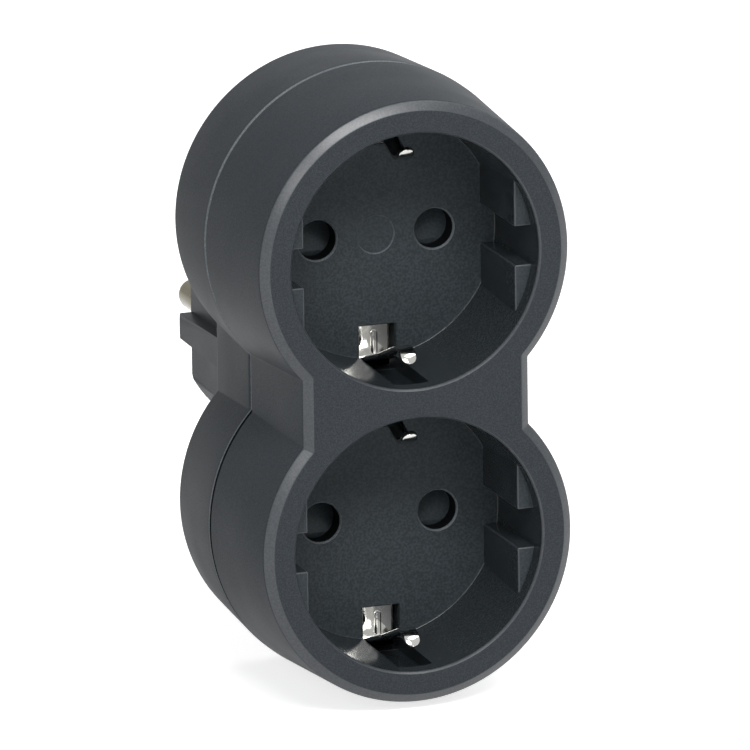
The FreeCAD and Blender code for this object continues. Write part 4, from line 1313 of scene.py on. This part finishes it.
@dataclass
class RearShell(Assembly):
    """The rear shell with the plug body."""

    back: Point = (25.3, 18.8)
    rounding: float = 1.6
    rounding_steps: int = 10
    groove: float = 0.5
    bright_edge: float = 0.1
    line_steps: Point = (0.0, 0.1, 0.2)
    edge_steps: Point = (0.8, 1.05)
    neck_edge: Point = (1.3, 0.8)
    plug_base: float = 18.4
    plug_end: float = 18.2
    plug_chamfer: float = 0.4
    plug_edge: float = 0.2
    flat: float = 16.0
    rail: Point = (4.8, 3.9)
    rail_face: float = 18.0
    recess: float = 8.6
    strap: Point = (6.0, 16.6)
    strap_play: float = 0.2
    pin_bore: float = 2.64
    core: Point = (10.0, 26.0)
    end_wall: float = 3.0
    boss: float = 4.2
    head_bore: float = 3.1
    screw_bore: float = 1.5
    seat: float = 2.0
    boss_flats: int = 64

    def skin(self) -> Piece:
        """The outer form, from the seam to the rounded back.

        Returns:
            The shell's form as a solid.
        """
        layout, turn = self.layout, self.rounding
        size, neck = layout.rim
        length, inset = self.neck_edge
        steps = (*self.line_steps, self.groove - self.bright_edge, self.groove, *self.edge_steps, length)
        path: list[Point] = []
        for step in steps:
            turned = math.sqrt(1 - (1 - step / length) ** 2)
            path.append((layout.seam + step, size - max(0.0, self.groove - step),
                         neck - inset * (1 - turned)))
        start = layout.rear - turn
        path.append((start, *self.back))
        for step in range(1, self.rounding_steps + 1):
            angle = math.pi / 2 * step / self.rounding_steps
            drop = turn * (1 - math.cos(angle))
            path.append((start + turn * math.sin(angle), self.back[0] - drop, self.back[1] - drop))
        return figure_eight("rear_shell", layout, path)

    def flat_cutter(self, hand: Hand, lift: int, reach: float) -> Piece:
        """What is cut off one side of the plug, above or below its rail, which narrows to the end.

        Args:
            hand: The side.
            lift: 1 above the rail, -1 below it.
            reach: Half width and half height of the cut.

        Returns:
            The cutter.
        """
        low, high = span(0.0, hand.value, self.flat, reach)
        return loft("flat", [rectangle(y, (low, rail / 2 * lift), (high, reach * lift))
                             for y, rail in zip((self.layout.rear, MARGIN), self.rail)])

    def plug(self) -> Piece:
        """The round plug body with flats, rails and earth recesses.

        Returns:
            The body with rounded edges.
        """
        layout, reach = self.layout, self.plug_base + MARGIN
        profile = [(layout.inner_rear, self.plug_base), (-self.plug_chamfer, self.plug_end),
                   (0.0, self.plug_end - self.plug_chamfer)]
        made = revolve("plug", rounded(profile, {1: self.plug_chamfer}), (0.0, 0.0))
        cutters = [self.flat_cutter(hand, lift, reach)
                   for hand in (Hand.RIGHT, Hand.LEFT) for lift in (1, -1)]
        for side in (1, -1):
            low, high = span(0.0, side, self.rail_face, reach)
            face = block("rail_face", (low, layout.rear, -self.rail[0]), (high, MARGIN, self.rail[0]))
            combine(made, [face], Cut.REMOVE)
        half = self.recess / 2
        for lift in (1, -1):
            low, high = span(0.0, lift, self.strap[1] - layout.sheet, reach)
            cutters.append(block("recess", (-half, layout.rear, low), (half, MARGIN, high)))
        combine(made, cutters, Cut.REMOVE)
        bevelled(made, self.plug_edge, segments=2, angle=50.0)
        return made

    def inner_cutters(self) -> list[Piece]:
        """The strap's windows, the plug's core and the pins' bores.

        Returns:
            The cutters.
        """
        layout, play = self.layout, self.strap_play
        start = layout.inner_rear - MARGIN
        half, core_x, core_z = self.strap[0] / 2 + play, self.core[0] / 2, self.core[1] / 2
        cutters = []
        for lift in (1, -1):
            low, high = span(0.0, lift, self.strap[1] - layout.sheet, self.strap[1] + play)
            cutters.append(block("window", (-half, start, low), (half, layout.rear + MARGIN / 2, high)))
        cutters.append(block("core", (-core_x, start, -core_z), (core_x, -self.end_wall, core_z)))
        places = [(layout.pin_side * hand.value, 0.0) for hand in Hand]
        return cutters + posts(places, self.pin_bore, start, MARGIN, self.boss_flats)

    def build(self) -> None:
        """Make the shell and hand it over."""
        layout = self.layout
        split, bosses, flats = layout.boss_split, layout.bosses(), self.boss_flats
        shell = self.skin()
        combine(shell, [inside(layout, (layout.seam - MARGIN, *layout.rim),
                               (layout.inner_rear, *self.back))], Cut.REMOVE)
        combine(shell, [self.plug()], Cut.ADD)
        combine(shell, self.inner_cutters(), Cut.REMOVE)
        combine(shell, posts(bosses, self.boss, split, layout.inner_rear + OVERLAP, flats), Cut.ADD)
        seat = split + self.seat
        combine(shell, posts(bosses, self.screw_bore, split - MARGIN, seat + MARGIN / 2, flats), Cut.REMOVE)
        combine(shell, posts(bosses, self.head_bore, seat, layout.rear + MARGIN, flats), Cut.REMOVE)
        self.finishes.dress(shell, FinishName.SHELL, FinishName.RIM, FinishName.DEEP, FinishName.SOFT)
        mark_faces(shell, self.face_kind)
        self.hand_over(shell, "rear_housing", "dark_plastic")

    def face_kind(self, spot: Vector, normal: Vector) -> RearFace:
        """Tell which finish a face of the shell takes.

        Args:
            spot: The middle of the face, in millimetres.
            normal: Its direction.

        Returns:
            The kind of face.
        """
        layout = self.layout
        size, neck = layout.rim
        x, y, z = spot
        reach = math.hypot(x, abs(z) - layout.pitch / 2)
        if y > layout.seam + self.neck_edge[0] or normal.y > FORWARD_BELOW:
            return RearFace.OUTSIDE
        if reach < size - self.groove - 2 * NEAR:
            # The neck's seam edge takes a painted sheen.
            return RearFace.NECK if neck - self.neck_edge[1] - NEAR < abs(x) else RearFace.OUTSIDE
        # The open seam's back wall on the lower ring takes painted shade.
        if z < 0 and reach < size - self.bright_edge:
            return RearFace.GAP
        # The seam line takes a painted highlight.
        return RearFace.LINE if y < layout.seam + self.groove else RearFace.OUTSIDE


# Metal parts


def strip(name: str, path: Sequence[Point], width: Callable[[float], float], sheet: float,
          centre: float = 0.0) -> Piece:
    """Sweep a stamped strip with rounded edges along a bent path.

    Args:
        name: The object's name.
        path: Middle line as (depth, distance) pairs.
        width: Half width at a length along the path.
        sheet: Thickness.
        centre: Height that the distances are measured from.

    Returns:
        The strip.
    """
    corner = sheet * STRIP_CORNER
    narrowest = corner * 1.5
    lengths = [0.0]
    for before, after in zip(path, path[1:]):
        lengths.append(lengths[-1] + math.dist(before, after))
    loops = []
    for index, point in enumerate(path):
        ahead = Vector(path[min(index + 1, len(path) - 1)])
        behind = Vector(path[max(index - 1, 0)])
        along = (ahead - behind).normalized()
        normal = Vector((-along.y, along.x))
        half = max(width(lengths[index]), narrowest)
        loop = []
        for turn, (side, lift) in enumerate(((1, 1), (-1, 1), (-1, -1), (1, -1))):
            for step in range(STRIP_STEPS + 1):
                angle = math.pi / 2 * (step / STRIP_STEPS + turn)
                across = side * (half - corner) + corner * math.cos(angle)
                spot = Vector(point) + normal * (lift * (sheet / 2 - corner) + corner * math.sin(angle))
                loop.append(Vector((across, spot.x, centre + spot.y)))
        loops.append(loop)
    return loft(name, loops)


def dense(path: Sequence[Point], step: float) -> list[Point]:
    """Add points along the straight runs of a path.

    Args:
        path: The path.
        step: Largest distance between points.

    Returns:
        The path with more points.
    """
    result = [tuple(path[0])]
    for before, after in zip(path, path[1:]):
        count = max(1, math.ceil(math.dist(before, after) / step))
        for index in range(1, count + 1):
            share = index / count
            result.append(tuple(a * (1 - share) + b * share for a, b in zip(before, after)))
    return result


def path_length(path: Sequence[Point]) -> float:
    """Length of a path along its points."""
    return sum(math.dist(before, after) for before, after in zip(path, path[1:]))


@dataclass
class EarthParts(Assembly):
    """The two earth brackets with their clips, and the strap that joins them."""

    plate_depth: float = 1.4
    leg: float = 13.35
    root: float = 20.21
    waist: Point = (5.18, 14.49)
    tip: Point = (3.28, 17.0)
    bends: Point = (0.75, 0.75, 0.8, 2.3)
    bend_steps: int = 9
    spacing: float = 0.5
    tip_shares: Point = (0.3, 0.6, 0.8, 0.92)
    half_width: float = 2.6
    half_tip: float = 1.3
    taper_start: float = 3.2
    taper: float = 3.2
    rib: Point = (0.55, 0.35)
    rib_ends: Point = (15.4, 19.2)
    rib_rounding: Point = (0.6, 0.05, 0.28)
    rib_flats: int = 24
    strap_half: float = 3.0
    strap_reach: float = 16.25
    strap_end: float = -2.5
    strap_corner: float = 1.0
    strap_bend: float = 0.9
    strap_bend_steps: int = 7
    strap_spacing: float = 0.8

    @property
    def plate(self) -> float:
        """Depth of the middle of a clip's plate."""
        return self.layout.floor + self.plate_depth + self.layout.sheet / 2

    def corners(self) -> list[Point]:
        """Corners of one arm's middle line from the bracket's middle to its tip, as (y, distance).

        Returns:
            The corners in order.
        """
        base = self.layout.cover_back + self.layout.sheet / 2
        ends = [(self.layout.front + depth, reach) for depth, reach in (self.waist, self.tip)]
        return [(base, 0.0), (base, self.leg), (self.plate, self.leg), (self.plate, self.root)] + ends

    def arm(self) -> list[Point]:
        """Middle line of one arm with its bends, its points closer together at the tip.

        Returns:
            The points in order.
        """
        bends = dict(enumerate(self.bends, start=1))
        arm = dense(rounded(self.corners(), bends, self.bend_steps), self.spacing)
        start, end = Vector(arm[-2]), Vector(arm[-1])
        return arm[:-1] + [tuple(start.lerp(end, share)) for share in self.tip_shares] + [arm[-1]]

    def half_width_at(self, from_tip: float, narrow_from: float) -> float:
        """Half width of the strip at a distance from its tip.

        Args:
            from_tip: Distance from the tip along the strip.
            narrow_from: Distance from the tip at which the strip starts to narrow.

        Returns:
            The half width.
        """
        corner = self.half_tip
        if from_tip < corner:
            return math.sqrt(max(0.0, corner ** 2 - (corner - from_tip) ** 2))
        wide = min(1.0, max(0.0, (from_tip - narrow_from + self.taper) / self.taper))
        eased = wide * wide * (3 - 2 * wide)
        return self.half_tip + (self.half_width - self.half_tip) * eased

    def bracket(self, level: Level) -> Piece:
        """One bracket: a base, two legs and a clip at each end.

        Args:
            level: The well that it serves.

        Returns:
            The bracket.
        """
        arm = self.arm()
        whole = [(y, -reach) for y, reach in reversed(arm[1:])] + arm
        total = path_length(whole)
        narrow_from = path_length(self.corners()[3:]) - self.taper_start

        def width(length: float) -> float:
            """Half width, narrow at both ends."""
            return self.half_width_at(min(length, total - length), narrow_from)

        return strip(f"{level.word}_earth_clips", whole, width, self.layout.sheet, self.layout.height(level))

    def stiffener(self, level: Level, side: int) -> Piece:
        """The pressed rib on a clip's plate, seen through the floor window.

        Args:
            level: The well.
            side: 1 above its axis, -1 below it.

        Returns:
            The rib.
        """
        front = self.plate - self.layout.sheet / 2
        width, rise = self.rib
        low, high = span(self.layout.height(level), side, *self.rib_ends)
        share, start, end = self.rib_rounding
        loops = []
        for y, shrink in ((front + FINE_MARGIN, 0.0), (front - rise * share, start), (front - rise, end)):
            half = width - shrink
            loop = []
            for step in range(self.rib_flats):
                angle = math.tau * step / self.rib_flats
                middle = high - half if math.sin(angle) >= 0 else low + half
                loop.append(Vector((half * math.cos(angle), y, middle + half * math.sin(angle))))
            loops.append(loop)
        return loft("stiffener", loops)

    def strap(self) -> Piece:
        """The strap behind both brackets, with the plug's two earth contacts.

        Returns:
            The strap.
        """
        base = self.layout.bracket_back + self.layout.sheet / 2
        reach = self.strap_reach
        points = [(self.strap_end, -reach), (base, -reach), (base, reach), (self.strap_end, reach)]
        bends = dict.fromkeys((1, 2), self.strap_bend)
        path = dense(rounded(points, bends, self.strap_bend_steps), self.strap_spacing)
        total, corner = path_length(path), self.strap_corner

        def width(length: float) -> float:
            """Half width, with rounded ends.

            Args:
                length: Distance from the strap's start along it.

            Returns:
                The half width there.
            """
            from_end = min(length, total - length)
            if from_end < corner:
                return self.strap_half - corner + math.sqrt(corner ** 2 - (corner - from_end) ** 2)
            return self.strap_half

        return strip("earth_strap_piece", path, width, self.layout.sheet)

    def build(self) -> None:
        """Make the brackets and the strap and hand them over."""
        for level in Level:
            made = self.bracket(level)
            combine(made, [self.stiffener(level, side) for side in (1, -1)], Cut.ADD)
            self.finishes.dress(made, FinishName.CLIP)
            self.hand_over(made, f"{level.word}_earth_bracket", "bright_metal", 40.0)
        strap = self.strap()
        self.finishes.dress(strap, FinishName.CLIP)
        self.hand_over(strap, "earth_strap", "bright_metal", 40.0)


@dataclass
class PlugPins(Assembly):
    """The two plug pins."""

    radius: float = 2.4
    length: float = 19.0
    tip: float = 2.0
    tip_steps: int = 12
    root: float = 2.6
    root_end: float = 0.3
    collar: float = 3.2
    collar_length: float = 2.0
    tail: float = 1.5
    tab: float = 0.8
    head: float = 0.8
    head_inset: float = 0.5
    head_rounding: float = 0.3
    step_rounding: float = 0.08
    flats: int = 96

    def pin(self, hand: Hand) -> Piece:
        """One turned pin with a rounded tip.

        Args:
            hand: The side that it stands on.

        Returns:
            The pin.
        """
        inner_rear = self.layout.inner_rear
        collar_start = inner_rear - self.collar_length
        tab_front = collar_start - self.tab
        head_front = tab_front - self.head
        profile = [
            (head_front, self.root - self.head_inset), (head_front, self.root), (tab_front, self.root),
            (tab_front, self.tail), (collar_start, self.tail), (collar_start, self.collar),
            (inner_rear, self.collar), (inner_rear, self.root),
            (self.root_end, self.root), (self.root_end, self.radius),
        ]
        profile = rounded(profile, {1: self.head_rounding, 8: self.step_rounding})
        shoulder = self.length - self.tip
        for step in range(self.tip_steps + 1):
            angle = math.pi / 2 * step / self.tip_steps
            profile.append((shoulder + self.tip * math.sin(angle),
                            self.radius - self.tip * (1 - math.cos(angle))))
        return revolve(f"{hand.word}_pin", profile, (self.layout.pin_side * hand.value, 0.0), self.flats)

    def build(self) -> None:
        """Make both pins and hand them over."""
        for hand in Hand:
            made = self.pin(hand)
            self.finishes.dress(made, FinishName.NICKEL)
            self.hand_over(made, f"{hand.word}_plug_pin", "nickel_plate")


@dataclass
class CurrentPath(Assembly):
    """The socket contacts and bus bars, kept as the CAD nodes."""

    def build(self) -> None:
        """Dress the nodes."""
        for hand in Hand:
            self.finishes.dress_node(f"{hand.word}_bus_bar", FinishName.BRASS)
            for level in Level:
                self.finishes.dress_node(f"{level.word}_{hand.word}_contact", FinishName.BRASS)


@dataclass
class Shutters(Assembly):
    """The shutters and their covers as CAD nodes, and their coil springs."""

    wire: float = 0.18
    coil: float = 0.85
    turns: float = 6.0
    foot: float = -11.12
    length: float = 10.04
    open_travel: float = 6.2

    def spring(self, level: Level, tree: GeometryTree) -> None:
        """Make one spring.

        Args:
            level: The well that it serves.
            tree: The coil's tree.
        """
        made = mesh_object(f"{level.word}_spring", [], [])
        foot = (0.0, self.layout.shutter_middle * MM, (self.layout.height(level) + self.foot) * MM)
        tree.grow(made, {
            "Wire Radius": self.wire * MM, "Coil Radius": self.coil * MM, "Length": self.length * MM,
            "Turns": self.turns, "Foot": foot, "Finish": self.finishes.made[FinishName.SPRING],
        })
        self.hand_over(made, f"{level.word}_shutter_spring", "spring_steel", 50.0)
        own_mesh(made)

    def build(self) -> None:
        """Dress the nodes and make the springs."""
        tree = spring_tree()
        for level in Level:
            self.finishes.dress_node(f"{level.word}_shutter", FinishName.SHUTTER)
            self.finishes.dress_node(f"{level.word}_shutter_cover", FinishName.COVER)
            self.spring(level, tree)


@dataclass
class Fasteners(Assembly):
    """The rivets and the housing screws."""

    contact_rivet: Point = (12.3, 3.6, 5.4)
    earth_rivet_z: float = 12.5
    grip: float = 1.4
    rivet: Point = (0.9, 1.5, 0.5)
    screw: Point = (1.4, 2.7, 1.8)
    screw_wall: float = 2.0
    screw_gap: float = 0.5
    slot: float = 0.7

    def rivets(self, node: str, slot: str, points: Sequence[Point], turn: Point, tree: GeometryTree) -> None:
        """Make one group of rivets.

        Args:
            node: The node that they stand for.
            slot: The record's material slot.
            points: The rivets' middles.
            turn: Rotation from Z to the rivets' axis.
            tree: The rivets' tree.
        """
        made = mesh_object(f"{node}_heads", points, [])
        shank, head, rise = (size * MM for size in self.rivet)
        tree.grow(made, {"Shank Radius": shank, "Head Radius": head, "Head Height": rise,
                         "Grip": self.grip * MM, "Turn": turn,
                         "Finish": self.finishes.made[FinishName.SCREW]})
        self.hand_over(made, node, slot)

    def screws(self) -> None:
        """Make the four housing screws."""
        seat = self.layout.boss_split + self.screw_wall
        made = mesh_object("pan_screws", [(x, seat, z) for x, z in self.layout.bosses()], [])
        shank, head, rise = (size * MM for size in self.screw)
        screw_tree().grow(made, {
            "Shank Radius": shank,
            "Shank Length": (seat - self.layout.floor_back - self.screw_gap) * MM,
            "Head Radius": head, "Head Height": rise, "Slot Width": self.slot * MM,
            "Finish": self.finishes.made[FinishName.SCREW],
        })
        self.hand_over(made, "housing_screws", "spring_steel")

    def build(self) -> None:
        """Make every fastener and hand it over."""
        tree, layout = rivet_tree(), self.layout
        side, recess, rise = self.contact_rivet
        middle, y = side + self.grip / 2, layout.inner_rear - recess
        points = [(middle * hand.value, y, layout.height(level) + rise) for hand in Hand for level in Level]
        self.rivets("contact_rivets", "brass", points, (0.0, math.pi / 2, 0.0), tree)
        points = [(0.0, layout.bracket_back, self.earth_rivet_z * level.value) for level in Level]
        self.rivets("earth_rivets", "bright_metal", points, (math.pi / 2, 0.0, 0.0), tree)
        self.screws()


# Camera, floor and light


@dataclass
class Studio:
    """The photograph's view on a plain pale floor in soft light."""

    layout: Layout
    azimuth: float = -20.013
    elevation: float = 15.1
    roll: float = -0.765
    distance: float = 2603.0
    pixels_per_mm: float = 6.446
    aim: Point = (12.805, -9.05)
    aim_depth: float = 56.0
    frame_pixels: float = 750.0
    sensor: float = 36.0
    floor_height: float = -48.7
    floor_reach: float = 3000.0
    floor_tone: float = 0.86
    floor_glow: float = 0.75
    surround: float = 0.12
    lamp_aim: float = -30.0

    def camera(self) -> None:
        """Place a long-lens camera at the photograph's view."""
        around, lift, roll = (math.radians(value) for value in (self.azimuth, self.elevation, self.roll))
        forward = Vector((-math.sin(around) * math.cos(lift), math.cos(around) * math.cos(lift),
                          -math.sin(lift)))
        level = Vector((math.cos(around), math.sin(around), 0.0))
        above = level.cross(forward)
        right = math.cos(roll) * level + math.sin(roll) * above
        up = math.cos(roll) * above - math.sin(roll) * level
        place = right * self.aim[0] + up * self.aim[1] - forward * self.distance
        place.y += self.layout.front + self.aim_depth
        data = bpy.data.cameras.new("view")
        data.sensor_width = self.sensor
        data.lens = self.pixels_per_mm * self.distance * data.sensor_width / self.frame_pixels
        data.clip_start, data.clip_end = 0.05, 20.0
        item = linked(bpy.data.objects.new("view", data))
        item.matrix_world = Matrix((
            (right.x, up.x, -forward.x, place.x * MM),
            (right.y, up.y, -forward.y, place.y * MM),
            (right.z, up.z, -forward.z, place.z * MM),
            (0.0, 0.0, 0.0, 1.0),
        ))
        bpy.context.scene.camera = item

    def seen_rays(self, tree: Tree) -> Socket:
        """A mask of the rays that show a background: the camera's, and those in gloss and glass.

        Args:
            tree: The tree that takes the mask.

        Returns:
            The mask, 1 for such rays.
        """
        path = tree.nodes.new("ShaderNodeLightPath")
        mask = path.outputs["Is Camera Ray"]
        for name in ("Is Glossy Ray", "Is Transmission Ray"):
            either = tree.nodes.new("ShaderNodeMath")
            either.operation = "MAXIMUM"
            tree.links.new(mask, either.inputs[0])
            tree.links.new(path.outputs[name], either.inputs[1])
            mask = either.outputs[0]
        return mask

    def floor(self) -> None:
        """Lay a wide pale floor just under the lower ring, which keeps the object's shadow."""
        reach = self.floor_reach
        corners = [Vector((x, y, self.floor_height)) * MM
                   for x, y in ((-reach, -reach), (reach, -reach), (reach, reach), (-reach, reach))]
        mesh = bpy.data.meshes.new("floor")
        mesh.from_pydata(corners, [], [(0, 1, 2, 3)])
        item = linked(bpy.data.objects.new("floor", mesh))
        made, tree, shader = principled("pale_floor")
        shader.inputs["Base Color"].default_value = (self.floor_tone, self.floor_tone, self.floor_tone, 1.0)
        shader.inputs["Roughness"].default_value = 0.9
        shader.inputs["Specular IOR Level"].default_value = 0.1
        shader.inputs["Emission Color"].default_value = (1.0, 1.0, 1.0, 1.0)
        mapped(tree, self.seen_rays(tree), shader.inputs["Emission Strength"], To_Max=self.floor_glow)
        mesh.materials.append(made)

    def world(self) -> None:
        """A white surround for the rays that show a background, and a dim soft one for all others."""
        made = bpy.data.worlds.new("surround")
        made.use_nodes = True
        glow = made.node_tree.nodes["Background"]
        glow.inputs["Color"].default_value = (1.0, 1.0, 1.0, 1.0)
        mapped(made.node_tree, self.seen_rays(made.node_tree), glow.inputs["Strength"],
               To_Min=self.surround, To_Max=1.0)
        bpy.context.scene.world = made

    def lamp(self, name: str, place: Point, size: Point, power: float) -> None:
        """A soft rectangular lamp aimed at the object.

        Args:
            name: The lamp's name.
            place: Its place in millimetres.
            size: Its width and height in millimetres.
            power: Its power in watts.
        """
        data = bpy.data.lights.new(name, "AREA")
        data.shape = "RECTANGLE"
        data.size, data.size_y = size[0] * MM, size[1] * MM
        data.energy = power
        item = bpy.data.objects.new(name, data)
        item.location = Vector(place) * MM
        aim = Vector((0.0, self.lamp_aim * MM, 0.0)) - item.location
        item.rotation_euler = aim.to_track_quat("-Z", "Y").to_euler()
        linked(item)

    def build(self) -> None:
        """Set up the camera, floor and light."""
        self.camera()
        self.floor()
        self.world()
        self.lamp("key", (-700.0, -1050.0, 520.0), (400.0, 400.0), 3.2)
        self.lamp("fill", (-100.0, -1000.0, 1000.0), (850.0, 380.0), 15.0)
        self.lamp("top", (420.0, -330.0, 950.0), (450.0, 250.0), 2.0)
        self.lamp("back", (900.0, 600.0, 700.0), (700.0, 700.0), 4.0)
        bpy.context.scene.view_settings.view_transform = "Standard"


def main() -> None:
    """Build the studio and then the adapter's pieces in order."""
    logging.basicConfig(level=logging.INFO, format="%(name)s: %(message)s")
    layout = Layout()
    Studio(layout).build()
    finishes = Finishes()
    for assembly in (FrontShell, RearShell, EarthParts, PlugPins, CurrentPath, Shutters, Fasteners):
        assembly(layout, finishes).build()
        log.info("%s done", assembly.__name__)


if __name__ == "__main__":
    main()
